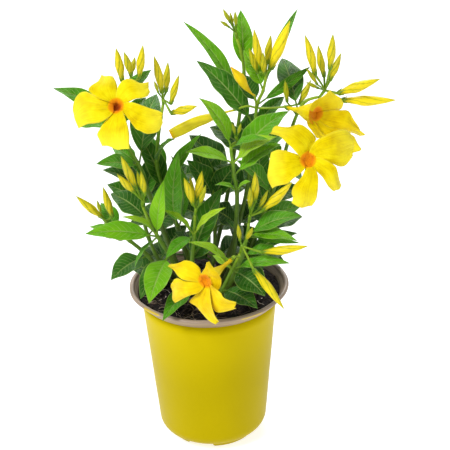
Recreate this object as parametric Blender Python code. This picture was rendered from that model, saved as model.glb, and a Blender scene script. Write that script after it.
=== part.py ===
"""A yellow-flowered mandevilla in its nursery pot.

The pot is thermoformed from a two-layer sheet, yellow outside and taupe inside, with a flared collar and a
rolled lip at its top that show the taupe. Soil fills it, and the leafy shoots stand in holes in the soil. Bud
clusters and blooms sit on the shoots' ends. Places on the plant are given as seen from the front, by spot().
"""

import math
from collections import namedtuple

import bmesh
import bpy
from mathutils import Matrix, Vector
from mathutils.bvhtree import BVHTree

# Pot, in metres: a trade-gallon nursery pot
RIM_RADIUS = 0.081
POT_HEIGHT = 0.170
WALL_TOP_RADIUS = 0.070
WALL_FOOT_RADIUS = 0.0545
CORNER_RADIUS = 0.015
FOOT_HEIGHT = 0.004
COLLAR_FOOT = 0.156
LIP_WIDTH = 0.0048
LAYER = 0.0011
LIP_STEPS = 4
CORNER_STEPS = 4
HIDDEN_STEPS = 2
LEDGE_INSET = 0.0042
LEDGE_RISE = 0.0042
CLEARANCE = 0.0003
POT_SIDES = 32
FOOT_COUNT = 4
FOOT_NOTCH_WIDTH = 0.026
FIRST_NOTCH_DEG = 252.0
FOOT_RING_OUTER = 0.0435
FOOT_RING_INNER = 0.037
FOOT_SLOPE = 0.0015
NOTCH_RELIEF = 0.0003
PAD_RADIUS = 0.010
POT_TOP = COLLAR_FOOT - CLEARANCE
DRAIN_RING = 0.026
DRAIN_COUNT = 4
DRAIN_RADIUS = 0.005
DRAIN_SIDES = 8
SOIL_TOP = 0.1615
SOIL_HILLS = 0.0022
HOLE_MARGIN = 0.0009
HOLE_DEPTH = 0.030
HOLE_SIDES = 6
SOIL_EDGE = 0.070
SOIL_EDGE_FADE = 0.012
SOIL_RINGS = (0.84, 0.58, 0.29)
SOIL_SIDES = 24

# The front view in which spots are read: 1 unit of the 450-unit picture is 1 mm at the plant
EYE_ELEVATION = math.radians(26.0)
EYE_ROLL = math.radians(1.6)
EYE_DISTANCE = 1.62
AIM = Vector((0.018, 0.0, 0.234))
PICTURE_MIDDLE = 225.0
MM = 0.001
FORWARD = Vector((0.0, math.cos(EYE_ELEVATION), -math.sin(EYE_ELEVATION)))
EYE = AIM - FORWARD * EYE_DISTANCE

# Plant, in metres
STEM_FOOT_RADIUS = 0.0026
STEM_TIP_RADIUS = 0.0014
STEM_SIDES = 5
STEM_COLLAR = 0.006
STRAIGHT_WITHIN = 0.0004
TWIG_RADIUS = 0.0011
TWIG_SETBACK = 0.003
LEAF_THICKNESS = 0.0014
PETIOLE_RADIUS = 0.0009
LEAF_STATIONS = (0.0, 0.16, 0.30, 0.52, 0.76, 1.0)
LEAF_ARCH = 0.10
LEAF_FOLD = 0.26
BLADE_START = 0.16
BLADE_END = 0.985
LEAF_GAP = 0.0009
BUD_SIDES = 5
BUD_TWIST = math.radians(24.0)
BUD_SHARES = ((0.0, 0.40), (0.18, 0.66), (0.42, 1.0), (0.74, 0.64), (1.0, 0.05))
PEDICEL_RADIUS = 0.0008
CALYX_RADIUS = 0.0016
KNOT_RADIUS = 0.0017
THROAT_RADIUS = 0.0088
THROAT_DROP = 0.009
THROAT_LIP = 0.0012
LAYING_STEPS = 24
TUBE_SHARES = ((0.22, 0.20), (0.42, 0.28), (0.62, 0.60), (0.82, 0.90), (1.0, 1.0))
FUNNEL_SIDES = 8
PETAL_SEAT = 0.0070
PETAL_PITCH = 0.20
PETAL_RISE = 0.14
PETAL_THICKNESS = 0.0010
PETAL_STATIONS = (0.0, 0.28, 0.54, 0.78, 1.0)
PETAL_ACROSS = (0.0, 0.34, 0.68, 1.0)

# Leaf: node on the shoot, tip spot, width in mm, roll in degrees
Leaf = namedtuple("Leaf", "node tip width roll", defaults=(0,))
# Shoot: foot on the soil in mm from the pot's axis, spots up the stem, leaves, and twigs as a node with
# the spots that follow it
Shoot = namedtuple("Shoot", "foot stem leaves twigs", defaults=((), ()))
# Bud: where the bud proper begins, its tip, its largest radius in mm
Bud = namedtuple("Bud", "start tip girth")
# Cluster: shoot and which of its ends it grows from, the knot where its stalks meet, its buds
Cluster = namedtuple("Cluster", "shoot end knot buds")
# Petal: spots along its clockwise edge from the throat out, along its other edge, and between their ends
Petal = namedtuple("Petal", "first second end", defaults=((),))
# Bloom: shoot and end it grows from, spot of the throat, width of the funnel's mouth, how far the petals'
# ends droop as a share of their length, and the petals
Bloom = namedtuple("Bloom", "shoot end throat wide droop petals")

SHOOTS = {
    "left_top": Shoot(
        (-24, 2),
        [(176, 262, 10), (163, 230, 16), (150, 196, 22), (139, 166, 26), (129, 148, 26), (123, 126, 26),
         (121, 106, 24), (128, 91, 22)],
        [Leaf(5, (54, 87, 14), 19), Leaf(6, (149, 67, 6), 14), Leaf(5, (146, 97, 8), 14),
         Leaf(5, (80, 126, 16), 15), Leaf(3, (97, 163, 48), 16, -12), Leaf(2, (104, 169, 38), 26),
         Leaf(3, (165, 94, -40), 28), Leaf(3, (112, 146, 8), 16)],
        [(5, [(123, 121, 33)])],
    ),
    "left_fork": Shoot(
        (-12, 12),
        [(190, 262, 0), (178, 228, 6), (166, 196, 10), (157, 166, 14), (158, 140, 12), (161, 118, 10),
         (163, 105, 10)],
        [Leaf(3, (173, 138, 40), 13), Leaf(2, (199, 134, 20), 15),
         Leaf(1, (177, 154, 40), 22), Leaf(1, (160, 160, 34), 16), Leaf(2, (138, 132, -4), 20),
         Leaf(2, (186, 166, -6), 22), Leaf(0, (176, 232, 20), 24)],
    ),
    "left_mid": Shoot(
        (-26, -14),
        [(180, 278, 24), (169, 255, 34), (158, 237, 42), (149, 221, 44), (143, 207, 44)],
        [Leaf(2, (86, 233, 60), 19, -20), Leaf(2, (163, 181, 54), 15), Leaf(3, (111, 193, 30), 27),
         Leaf(2, (133, 209, 68), 10), Leaf(2, (134, 266, 60), 7, 30), Leaf(1, (140, 298, 66), 20),
         Leaf(1, (149, 302, 84), 25)],
    ),
    "left_low": Shoot(
        (-36, 4),
        [(165, 276, 0), (148, 256, 6), (130, 241, 12), (117, 233, 16), (107, 227, 18)],
        [Leaf(1, (111, 279, 34), 24), Leaf(2, (90, 226, 10), 14), Leaf(3, (98, 204, -2), 18),
         Leaf(0, (132, 262, -14), 24)],
    ),
    "centre": Shoot(
        (-14, -22),
        [(193, 286, 28), (192, 262, 34), (194, 236, 38), (195, 215, 40)],
        [Leaf(2, (163, 213, 58), 9), Leaf(2, (224, 207, 54), 10), Leaf(2, (166, 257, 66), 13),
         Leaf(1, (221, 188, 8), 24), Leaf(0, (163, 319, 86), 18), Leaf(1, (210, 234, 20), 22)],
    ),
    "centre_right": Shoot(
        (12, -6),
        [(232, 262, 14), (236, 226, 24), (237, 191, 32), (234, 176, 34), (233, 164, 34), (231, 148, 34),
         (236, 142, 32)],
        [Leaf(2, (216, 184, 50), 7), Leaf(2, (250, 181, 44), 7), Leaf(3, (280, 143, 32), 17),
         Leaf(4, (275, 136, 46), 17), Leaf(4, (187, 151, 50), 15), Leaf(5, (201, 98, 44), 19),
         Leaf(5, (267, 138, 56), 11), Leaf(4, (288, 110, 0), 24)],
    ),
    "tall_middle": Shoot(
        (10, 10),
        [(226, 262, -4), (238, 226, -8), (247, 190, -12), (252, 158, -14), (255, 128, -16), (257, 105, -18),
         (263, 91, -18), (266, 77, -16)],
        [Leaf(4, (198, 60, -34), 26), Leaf(5, (308, 63, -30), 10, 40), Leaf(6, (244, 50, -30), 19),
         Leaf(7, (297, 8, -62), 10), Leaf(3, (210, 126, -34), 26), Leaf(1, (274, 204, -30), 24),
         Leaf(1, (206, 206, -10), 26), Leaf(2, (214, 166, -24), 24), Leaf(3, (290, 128, -30), 18),
         Leaf(5, (230, 82, -36), 20), Leaf(4, (284, 96, -34), 16)],
        [(5, [(247, 106, -14), (238, 109, -12)]), (5, [(270, 108, -12), (283, 107, -8)]),
         (5, [(255, 97, -8)])],
    ),
    "tall_back": Shoot(
        (-2, 22),
        [(212, 262, -20), (222, 222, -28), (230, 180, -34), (236, 140, -38), (241, 104, -40), (244, 74, -40),
         (241, 52, -40), (237, 39, -40)],
        [Leaf(4, (185, 21, -54), 14), Leaf(5, (241, 10, -56), 19), Leaf(4, (229, 72, -62), 16),
         Leaf(0, (178, 240, -34), 26), Leaf(1, (262, 214, -44), 24),
         Leaf(2, (186, 138, -50), 28), Leaf(3, (266, 112, -52), 18), Leaf(3, (216, 122, -50), 18)],
    ),
    "right": Shoot(
        (24, -2),
        [(244, 262, 2), (258, 228, 2), (271, 196, 0), (282, 164, -2), (290, 134, -4), (298, 112, -6),
         (306, 101, -6), (318, 97, -6)],
        [Leaf(5, (282, 57, -62), 24), Leaf(0, (296, 232, 14), 22), Leaf(0, (224, 230, 26), 24),
         Leaf(1, (302, 204, 8), 24), Leaf(2, (238, 160, 8), 20), Leaf(3, (304, 186, -14), 20),
         Leaf(3, (262, 142, -8), 18), Leaf(0, (284, 256, -4), 24)],
        [(4, [(297, 141, 8), (303, 149, 18)]), (5, [(292, 109, -14)])],
    ),
    "right_low": Shoot(
        (16, -20),
        [(232, 280, 26), (242, 256, 32), (247, 236, 36), (249, 223, 36)],
        [Leaf(3, (300, 215, 48), 21), Leaf(2, (294, 235, 66), 15), Leaf(2, (300, 243, 40), 6, 40),
         Leaf(1, (280, 249, 36), 12), Leaf(0, (264, 266, 14), 24)],
    ),
    "front": Shoot(
        (4, -34),
        [(222, 290, 44), (232, 270, 50), (240, 254, 54)],
        [Leaf(2, (191, 241, 78), 12), Leaf(2, (213, 255, 40), 10), Leaf(2, (289, 262, 66), 13),
         Leaf(1, (265, 292, 80), 30), Leaf(0, (257, 307, 84), 24)],
        [(2, [(235, 257, 60)])],
    ),
    "back_left": Shoot(
        (-24, 28),
        [(186, 255, -34), (174, 218, -50), (164, 184, -60), (158, 160, -66)],
        [Leaf(0, (132, 262, -36), 26), Leaf(1, (130, 222, -50), 28), Leaf(1, (214, 206, -50), 28),
         Leaf(2, (200, 172, -64), 26), Leaf(3, (138, 128, -60), 22)],
    ),
    "back_right": Shoot(
        (18, 28),
        [(234, 255, -36), (248, 218, -54), (260, 184, -66), (268, 158, -74)],
        [Leaf(0, (286, 262, -38), 26), Leaf(1, (206, 230, -58), 26),
         Leaf(2, (292, 184, -64), 24), Leaf(2, (216, 190, -70), 26), Leaf(3, (258, 118, -74), 20)],
    ),
    "inner": Shoot(
        (-4, 3),
        [(214, 258, -4), (215, 228, -8), (214, 200, -12), (210, 176, -16)],
        [Leaf(0, (172, 236, -20), 28), Leaf(0, (256, 226, -26), 26), Leaf(1, (178, 206, -8), 28),
         Leaf(1, (252, 190, -44), 26), Leaf(2, (188, 160, -14), 24), Leaf(2, (238, 158, -22), 22),
         Leaf(3, (200, 140, -26), 16), Leaf(3, (226, 150, -30), 20)],
    ),
    "inner_left": Shoot(
        (-34, 16),
        [(160, 262, -10), (148, 236, -14), (141, 208, -16), (136, 184, -16)],
        [Leaf(0, (188, 226, -26), 26), Leaf(1, (178, 208, -30), 28), Leaf(1, (104, 236, -16), 24),
         Leaf(2, (108, 184, -14), 26), Leaf(2, (170, 176, -20), 26), Leaf(3, (128, 148, -14), 20),
         Leaf(3, (158, 146, -24), 20)],
    ),
    "inner_right": Shoot(
        (34, 12),
        [(258, 254, -10), (266, 228, -14), (268, 204, -18), (268, 184, -22)],
        [Leaf(0, (230, 226, -28), 26), Leaf(1, (302, 216, -16), 26),
         Leaf(1, (256, 186, -34), 26), Leaf(2, (300, 186, -24), 24), Leaf(2, (244, 168, -24), 24),
         Leaf(3, (280, 150, -28), 22)],
    ),
}

MAIN_END = 0
CLUSTERS = {
    "buds_left_top": Cluster("left_top", MAIN_END, (129, 84, 25), [
        Bud((122, 80, 28), (116, 48, 34), 4.3), Bud((131, 75, 30), (124, 52, 36), 3.6),
        Bud((131, 74, 20), (135, 57, 16), 3.0), Bud((139, 77, 28), (143, 45, 34), 4.2)]),
    "buds_left_fork": Cluster("left_fork", MAIN_END, (163, 99, 12), [
        Bud((162, 92, 16), (154, 56, 22), 4.2), Bud((166, 91, 6), (168, 62, 2), 3.8),
        Bud((158, 92, 22), (154, 81, 26), 1.8), Bud((171, 103, 16), (179, 75, 22), 3.6),
        Bud((172, 113, 24), (197, 106, 34), 4.4)]),
    "buds_left_mid": Cluster("left_mid", MAIN_END, (143, 201, 46), [
        Bud((136, 187, 52), (121, 156, 60), 4.2), Bud((134, 192, 58), (117, 174, 68), 3.6),
        Bud((142, 190, 42), (137, 171, 40), 2.4), Bud((145, 194, 52), (141, 171, 58), 3.2)]),
    "buds_left_low": Cluster("left_low", MAIN_END, (106, 221, 20), [
        Bud((102, 217, 24), (76, 196, 34), 4.2), Bud((112, 216, 18), (103, 187, 20), 4.0),
        Bud((101, 213, 14), (97, 200, 10), 2.0)]),
    "buds_centre": Cluster("centre", MAIN_END, (196, 209, 42), [
        Bud((193, 204, 46), (184, 178, 54), 4.0), Bud((194, 201, 36), (190, 176, 32), 2.8),
        Bud((197, 199, 42), (202, 171, 44), 4.2), Bud((200, 204, 48), (206, 185, 54), 2.8)]),
    "buds_centre_right": Cluster("centre_right", MAIN_END, (236, 137, 34), [
        Bud((235, 134, 36), (232, 123, 38), 1.8), Bud((238, 134, 36), (241, 123, 38), 1.8)]),
    "buds_tall_middle": Cluster("tall_middle", MAIN_END, (266, 72, -15), [
        Bud((261, 67, -10), (254, 29, -4), 4.3), Bud((257, 72, -16), (249, 48, -16), 3.4),
        Bud((267, 63, -20), (271, 35, -24), 3.8), Bud((271, 68, -12), (290, 21, -8), 5.8),
        Bud((264, 74, -6), (263, 52, 0), 3.0)]),
    "buds_tall_back": Cluster("tall_back", MAIN_END, (236, 33, -38), [
        Bud((230, 22, -36), (223, 9, -34), 2.2), Bud((229, 27, -34), (220, 21, -32), 1.8),
        Bud((233, 25, -40), (230, 12, -44), 1.8), Bud((236, 26, -34), (235, 11, -30), 2.2)]),
    "buds_right": Cluster("right", MAIN_END, (325, 90, -4), [
        Bud((315, 74, 2), (305, 35, 8), 4.4), Bud((324, 76, -8), (318, 45, -16), 3.8),
        Bud((330, 68, 4), (333, 34, 10), 4.4), Bud((330, 80, -6), (341, 53, -12), 3.8),
        Bud((317, 84, 8), (306, 68, 14), 2.2), Bud((318, 88, -2), (306, 82, -2), 2.0),
        Bud((339, 93, -8), (380, 79, -4), 5.4), Bud((343, 100, -14), (396, 100, -10), 5.4)]),
    "buds_right_pair": Cluster("right", 2, (290, 106, -16), [
        Bud((287, 101, -14), (285, 80, -14), 2.8), Bud((300, 103, -18), (311, 80, -22), 3.6)]),
    "buds_right_low": Cluster("right_low", MAIN_END, (250, 216, 38), [
        Bud((255, 201, 42), (255, 172, 48), 4.0), Bud((250, 208, 44), (250, 187, 52), 3.0),
        Bud((259, 208, 40), (268, 190, 42), 2.6), Bud((263, 210, 40), (292, 182, 38), 5.0)]),
    "buds_front": Cluster("front", MAIN_END, (242, 246, 59), [
        Bud((240, 240, 58), (238, 224, 58), 2.5), Bud((246, 240, 58), (253, 227, 62), 2.5),
        Bud((263, 252, 62), (308, 246, 74), 4.6), Bud((254, 270, 70), (284, 309, 86), 4.6)]),
}

BLOOMS = {
    "bloom_left": Bloom("left_top", 1, (116, 106, 66), 1.0, 0.20, [
        Petal([(115, 100), (115.5, 94), (117, 87), (115.5, 81), (112.5, 76)],
              [(110, 101), (98, 97.5), (88.5, 90.5), (91.5, 85.5), (98, 81), (101, 74.5)], [(107, 76)]),
        Petal([(123, 103), (128, 100.5), (135, 99), (142, 98), (147, 95.5), (149.5, 91)],
              [(117, 99), (117.5, 91), (119, 85), (122, 81), (127, 78.5), (133, 79), (140, 82.5), (149, 82)],
              [(148.5, 87)]),
        Petal([(124, 112), (128, 118), (132, 124), (136, 129), (140, 130.5), (146, 133), (152, 132),
               (158, 129), (162, 121)],
              [(124, 104), (130, 103), (136, 103), (143, 105), (150, 107.5), (158, 110.5), (162.5, 113)]),
        Petal([(112, 114), (108, 119), (103, 124), (100, 129), (97, 134), (99, 139), (102, 145.5)],
              [(122, 113), (126, 120), (128, 127), (129, 135), (129, 142), (129.5, 149)],
              [(110, 146.5), (118, 149.5)]),
        Petal([(110, 102), (103, 99), (95, 95), (89, 92.5), (85, 91), (80, 92.5), (76, 97), (73.5, 103),
               (72.5, 110)],
              [(111, 113), (106, 118), (101, 121.5), (94, 123), (86, 123.5), (77.5, 126.5)], [(74.5, 118)]),
    ]),
    "bloom_right_low": Bloom("right", 1, (308, 160, 66), 1.0, 0.20, [
        Petal([(310, 151), (314, 143), (316, 138), (309, 130), (300, 124.5), (290, 127), (283, 127),
               (276.5, 126)],
              [(302, 158), (298, 153), (292, 148), (286, 142.5), (281, 137.5), (277, 136), (270.5, 135)],
              [(272.5, 129)]),
        Petal([(301, 160), (297, 156), (291, 152.5), (285, 150.5), (278, 150), (271.5, 153)],
              [(303, 169), (299, 174), (293, 179), (288, 184), (281, 186), (276, 187.5), (272.5, 189.5)],
              [(269.5, 163), (267.5, 177)]),
        Petal([(306, 171), (302, 177), (296, 183), (293, 188), (292, 194), (293.5, 199), (292, 204)],
              [(315, 171), (318, 176), (318.5, 184), (318, 192), (316.5, 199), (312, 206)], [(302, 207.5)]),
        Petal([(315, 168), (319, 173), (323, 178), (328, 186), (334, 192)],
              [(316, 158), (324, 160), (331, 163), (336, 167), (338, 173), (339.5, 180), (342, 187)]),
        Petal([(317, 157), (325, 161), (333, 164), (340, 167), (346, 165.5), (352, 157)],
              [(311, 151), (316, 141), (325, 136), (336, 131), (345, 130), (351, 134)], [(354, 145)]),
    ]),
    "bloom_right_high": Bloom("tall_middle", 2, (317, 114, 27), 1.25, -0.30, [
        Petal([(320, 112), (327, 112), (335, 111), (343, 109.5), (345, 103)],
              [(310, 108), (314, 102), (321, 98), (326, 94), (331, 90)], [(338, 96.5)]),
        Petal([(318, 121), (328, 127), (340, 131), (350, 133), (358, 134), (364.5, 137)],
              [(320, 113), (331, 111), (342, 110.5), (351, 111.5), (355, 121), (361, 130)]),
        Petal([(311, 120), (314, 128), (319, 137), (330, 146), (343, 153), (352, 156)],
              [(318, 121), (330, 127), (343, 130), (353, 135), (358, 139), (361, 145)], [(358.5, 151)]),
        Petal([(308, 117), (308, 124), (312, 131), (318.5, 138.5)],
              [(314, 120), (317, 127), (322, 132), (327, 136)]),
    ]),
    "bloom_front": Bloom("front", 1, (205, 281, 104), 0.85, 0.16, [
        Petal([(202, 277), (200, 274), (198.5, 269), (195, 264.5), (190, 262), (184, 261), (179, 263),
               (173, 264.5), (168.5, 265.5)],
              [(198, 281), (190, 280.5), (184, 280), (178, 276), (173, 271), (168.5, 267.5)]),
        Petal([(211, 289), (218, 290), (221, 284), (219, 276), (214, 271), (210, 266.5), (207.5, 262.5)],
              [(202, 277), (200.5, 275.5), (203, 272.5), (205, 268), (206.5, 262.5)]),
        Petal([(208, 290), (211, 299), (211.5, 306), (213, 311), (217, 313.5), (224, 312.5), (235, 309)],
              [(211, 286), (220, 293), (223, 297), (229, 300.5), (235, 303)]),
        Petal([(200, 288), (196, 294), (191, 299), (188.5, 303), (194, 307), (199, 313), (205, 319),
               (210, 322), (216, 324)],
              [(209, 290), (210, 299), (211, 306), (213.5, 312), (216, 318), (217.5, 322.5)]),
        Petal([(198, 281), (190, 281), (185, 281), (181, 279.5), (177.5, 278.5), (173, 280.5),
               (170.5, 284.5)],
              [(202, 288), (197, 293), (190, 295.5), (184, 298.5), (179, 301), (175, 303)], [(171.5, 293)]),
    ]),
}
# Flowers that are shut: shoot and end, spots along them, and the radius in mm at each
ROLLED = ("tall_middle", 1, [(223, 113, -6), (208, 118, 0), (196, 122, 4), (181, 130, 10), (171, 135, 12)],
          [1.4, 4.6, 5.8, 6.2, 5.2])
HALF_OPEN = ("tall_middle", 3, [(251, 93, 2), (245, 86, 8), (240, 78, 12), (231, 67, 16)],
             [1.0, 3.4, 5.2, 0.5])

# Colours as shown, with a roughness each
POT_COLOUR = (0.62, 0.50, 0.03)
LINER_COLOUR = (0.36, 0.29, 0.23)
SOIL_COLOUR = (0.022, 0.018, 0.014)
LEAF_COLOUR = (0.075, 0.22, 0.02)
PETAL_COLOUR = (0.92, 0.78, 0.02)
BUD_COLOUR = (0.70, 0.60, 0.04)
SATIN = 0.42
MATTE = 0.9
GLOSSY = 0.35

# Swings and lifts in degrees that a leaf may try, smallest first
TURNS = sorted(((swing, lift) for swing in range(-48, 49, 6) for lift in range(-48, 49, 6)),
               key=lambda turn: (turn[0] ** 2 + turn[1] ** 2, turn))

placed = []


# The scene, materials and solids
def clear_scene():
    for item in list(bpy.data.objects):
        bpy.data.objects.remove(item, do_unlink=True)


def make_material(name, colour, roughness):
    material = bpy.data.materials.new(name)
    material.use_nodes = True
    surface = material.node_tree.nodes["Principled BSDF"]
    surface.inputs["Base Color"].default_value = (*colour, 1.0)
    surface.inputs["Roughness"].default_value = roughness
    surface.inputs["Metallic"].default_value = 0.0
    return material


def make_solid(name, points, faces):
    """An object from points and faces of a closed body, with its faces turned outward."""
    mesh = bpy.data.meshes.new(name)
    mesh.from_pydata([tuple(point) for point in points], [], faces)
    shape = bmesh.new()
    shape.from_mesh(mesh)
    bmesh.ops.recalc_face_normals(shape, faces=shape.faces[:])
    shape.to_mesh(mesh)
    shape.free()
    item = bpy.data.objects.new(name, mesh)
    bpy.context.scene.collection.objects.link(item)
    return item


def finish(item, material, crease_deg=40.0):
    item.data.materials.clear()
    item.data.materials.append(material)
    item.data.shade_smooth()
    item.data.set_sharp_from_angle(angle=math.radians(crease_deg))
    return item


def combine(item, others, operation):
    """Unite others with an item, or cut them out of it, and remove them."""
    tools = bpy.data.collections.new("tools")
    bpy.context.scene.collection.children.link(tools)
    for other in others:
        bpy.context.scene.collection.objects.unlink(other)
        tools.objects.link(other)
    boolean = item.modifiers.new("combine", "BOOLEAN")
    boolean.operation = operation
    boolean.operand_type = "COLLECTION"
    boolean.collection = tools
    boolean.solver = "EXACT"
    seen = item.evaluated_get(bpy.context.evaluated_depsgraph_get())
    result = bpy.data.meshes.new_from_object(seen)
    item.modifiers.clear()
    item.data = result
    for other in others:
        bpy.data.objects.remove(other, do_unlink=True)
    bpy.data.collections.remove(tools)
    return item


# Places
def spot(across, down, near):
    """The point seen at a place in the front view, near mm in front of the pot's axis."""
    level = Vector((1.0, 0.0, 0.0))
    upright = Vector((0.0, math.sin(EYE_ELEVATION), math.cos(EYE_ELEVATION)))
    right = level * math.cos(EYE_ROLL) - upright * math.sin(EYE_ROLL)
    up = level * math.sin(EYE_ROLL) + upright * math.cos(EYE_ROLL)
    ray = (FORWARD * EYE_DISTANCE + right * (across - PICTURE_MIDDLE) * MM
           + up * (PICTURE_MIDDLE - down) * MM)
    return EYE + ray * ((-near * MM - EYE.y) / ray.y)


def smooth_path(points):
    """The points, with one between two where a curve through them bends, and each given point's index."""
    path, kept = [points[0]], [0]
    for index in range(len(points) - 1):
        first = points[max(index - 1, 0)]
        start, stop = points[index], points[index + 1]
        last = points[min(index + 2, len(points) - 1)]
        along = (stop - start).normalized()
        bow = ((start + stop) - (first + last)) * 0.0625
        bow -= along * bow.dot(along)
        if bow.length > STRAIGHT_WITHIN:
            path.append((start + stop) / 2 + bow)
        path.append(stop)
        kept.append(len(path) - 1)
    return path, kept


def steps_along(points):
    """The way ahead at each point of a path, and a side direction that turns as little as it can."""
    aheads = []
    for index in range(len(points)):
        before = points[max(index - 1, 0)]
        after = points[min(index + 1, len(points) - 1)]
        aheads.append((after - before).normalized())
    side = aheads[0].orthogonal().normalized()
    sides = []
    for ahead in aheads:
        side = (side - ahead * side.dot(ahead)).normalized()
        sides.append(side)
    return aheads, sides


def tube(points, radii, sides, twist=0.0):
    """Points and faces of a round stick along a path, turned by twist at each point."""
    aheads, directions = steps_along(points)
    corners = []
    for index, (centre, ahead, side) in enumerate(zip(points, aheads, directions)):
        for number in range(sides):
            turn = Matrix.Rotation(math.tau * number / sides + twist * index, 3, ahead)
            corners.append(centre + turn @ side * radii[index])
    faces = []
    for ring in range(len(points) - 1):
        for number in range(sides):
            beside = (number + 1) % sides
            a, b = ring * sides + number, ring * sides + beside
            c, d = a + sides, b + sides
            faces += [(a, b, d), (a, d, c)]
    faces.append(tuple(reversed(range(sides))))
    faces.append(tuple(range(len(corners) - sides, len(corners))))
    return corners, faces


def upright_rod(middle, radius, half_height, sides):
    rise = Vector((0.0, 0.0, half_height))
    return make_solid("rod", *tube([middle - rise, middle + rise], [radius, radius], sides))


# Keeping clear of what is already there
def remember(owner, points, faces, kind="body"):
    low = [min(point[axis] for point in points) for axis in range(3)]
    high = [max(point[axis] for point in points) for axis in range(3)]
    tree = BVHTree.FromPolygons([tuple(point) for point in points], faces)
    placed.append((owner, kind, low, high, tree))


def hits(points, faces, wanted):
    """The owners of what a shape crosses, out of those that wanted(owner, kind) picks."""
    low = [min(point[axis] for point in points) for axis in range(3)]
    high = [max(point[axis] for point in points) for axis in range(3)]
    tree = BVHTree.FromPolygons([tuple(point) for point in points], faces)
    found = set()
    for owner, kind, other_low, other_high, other in placed:
        apart = any(low[axis] > other_high[axis] or high[axis] < other_low[axis] for axis in range(3))
        if not apart and wanted(owner, kind) and tree.overlap(other):
            found.add(owner)
    return found


# Pot and liner
def turned(profile, sides):
    """A closed body of revolution from a profile that starts and ends on the axis.

    Each profile entry is a function of the angle that gives a radius and a height.
    """
    points, faces = [], []
    for step in range(sides):
        angle = math.tau * step / sides
        for place in profile[1:-1]:
            radius, height = place(angle)
            points.append(Vector((radius * math.cos(angle), radius * math.sin(angle), height)))
    count = len(profile) - 2
    bottom, top = len(points), len(points) + 1
    points.append(Vector((0.0, 0.0, profile[0](0.0)[1])))
    points.append(Vector((0.0, 0.0, profile[-1](0.0)[1])))
    for step in range(sides):
        here, after = step * count, (step + 1) % sides * count
        faces.append((bottom, here, after))
        for index in range(count - 1):
            a, b = here + index, here + index + 1
            c, d = after + index, after + index + 1
            faces += [(a, b, d), (a, d, c)]
        faces.append((top, after + count - 1, here + count - 1))
    return points, faces


def fixed(radius, height):
    return lambda angle: (radius, height)


def in_notch(angle):
    """Whether the foot ring is interrupted at an angle."""
    turn = (math.degrees(angle) - FIRST_NOTCH_DEG) % (360.0 / FOOT_COUNT)
    turn = min(turn, 360.0 / FOOT_COUNT - turn)
    return math.radians(turn) * FOOT_RING_OUTER < FOOT_NOTCH_WIDTH / 2


def foot_point(radius, height):
    """A point of the foot ring that lies up against the floor in a notch."""
    return lambda angle: (radius, FOOT_HEIGHT - NOTCH_RELIEF if in_notch(angle) else height)


def wall_radius(height):
    """Outside radius of the pot's wall at a height, on the straight taper."""
    share = (height - FOOT_HEIGHT) / (POT_HEIGHT - FOOT_HEIGHT)
    return WALL_FOOT_RADIUS + (WALL_TOP_RADIUS - WALL_FOOT_RADIUS) * share


def cup_outline(inward, floor, top, corner_steps):
    """Points of a cup's wall from the floor's edge to the top, set inward from the pot's outside."""
    corner = CORNER_RADIUS - inward
    middle = wall_radius(floor + corner) - inward - corner
    outline = []
    for step in range(corner_steps + 1):
        turn = math.pi / 2 * step / corner_steps
        outline.append((middle + corner * math.sin(turn), floor + corner * (1 - math.cos(turn))))
    outline.append((wall_radius(top) - inward, top))
    return outline


def make_pot(material):
    outside = cup_outline(0.0, FOOT_HEIGHT, POT_TOP, CORNER_STEPS)
    inside = cup_outline(LAYER, FOOT_HEIGHT + LAYER, POT_TOP, HIDDEN_STEPS)
    profile = [fixed(0.0, 0.0), fixed(PAD_RADIUS, 0.0), fixed(PAD_RADIUS + FOOT_SLOPE, FOOT_HEIGHT)]
    profile += [fixed(FOOT_RING_INNER - FOOT_SLOPE, FOOT_HEIGHT), foot_point(FOOT_RING_INNER, 0.0),
                foot_point(FOOT_RING_OUTER, 0.0)]
    profile += [fixed(radius, height) for radius, height in outside[1:]]
    profile += [fixed(radius, height) for radius, height in reversed(inside)]
    profile.append(fixed(0.0, FOOT_HEIGHT + LAYER))
    points, faces = turned(profile, POT_SIDES)
    pot = make_solid("pot", points, faces)
    combine(pot, drain_cutters(), "DIFFERENCE")
    return finish(pot, material)


def drain_cutters():
    cutters = []
    for number in range(DRAIN_COUNT):
        turn = math.tau * (number + 0.5) / DRAIN_COUNT
        middle = Vector((DRAIN_RING * math.cos(turn), DRAIN_RING * math.sin(turn), FOOT_HEIGHT))
        cutters.append(upright_rod(middle, DRAIN_RADIUS, 2 * FOOT_HEIGHT, DRAIN_SIDES))
    return cutters


def collar_outline():
    """The flared collar above the pot's wall: up its outside, round the lip and down its inside."""
    seam = wall_radius(COLLAR_FOOT) + 0.0006
    flare = POT_HEIGHT - COLLAR_FOOT
    bead = LIP_WIDTH / 2
    middle = RIM_RADIUS - bead
    outline = [(seam, COLLAR_FOOT), (seam + 0.62 * (RIM_RADIUS - seam), COLLAR_FOOT + 0.50 * flare)]
    for step in range(LIP_STEPS + 1):
        turn = math.pi * step / LIP_STEPS
        outline.append((middle + bead * math.cos(turn), POT_HEIGHT - bead + bead * math.sin(turn)))
    outline.append((ledge_radius(), COLLAR_FOOT + LEDGE_RISE))
    return outline


def ledge_radius():
    """Radius of the ledge inside the collar."""
    return RIM_RADIUS - LIP_WIDTH - LEDGE_INSET


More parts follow.
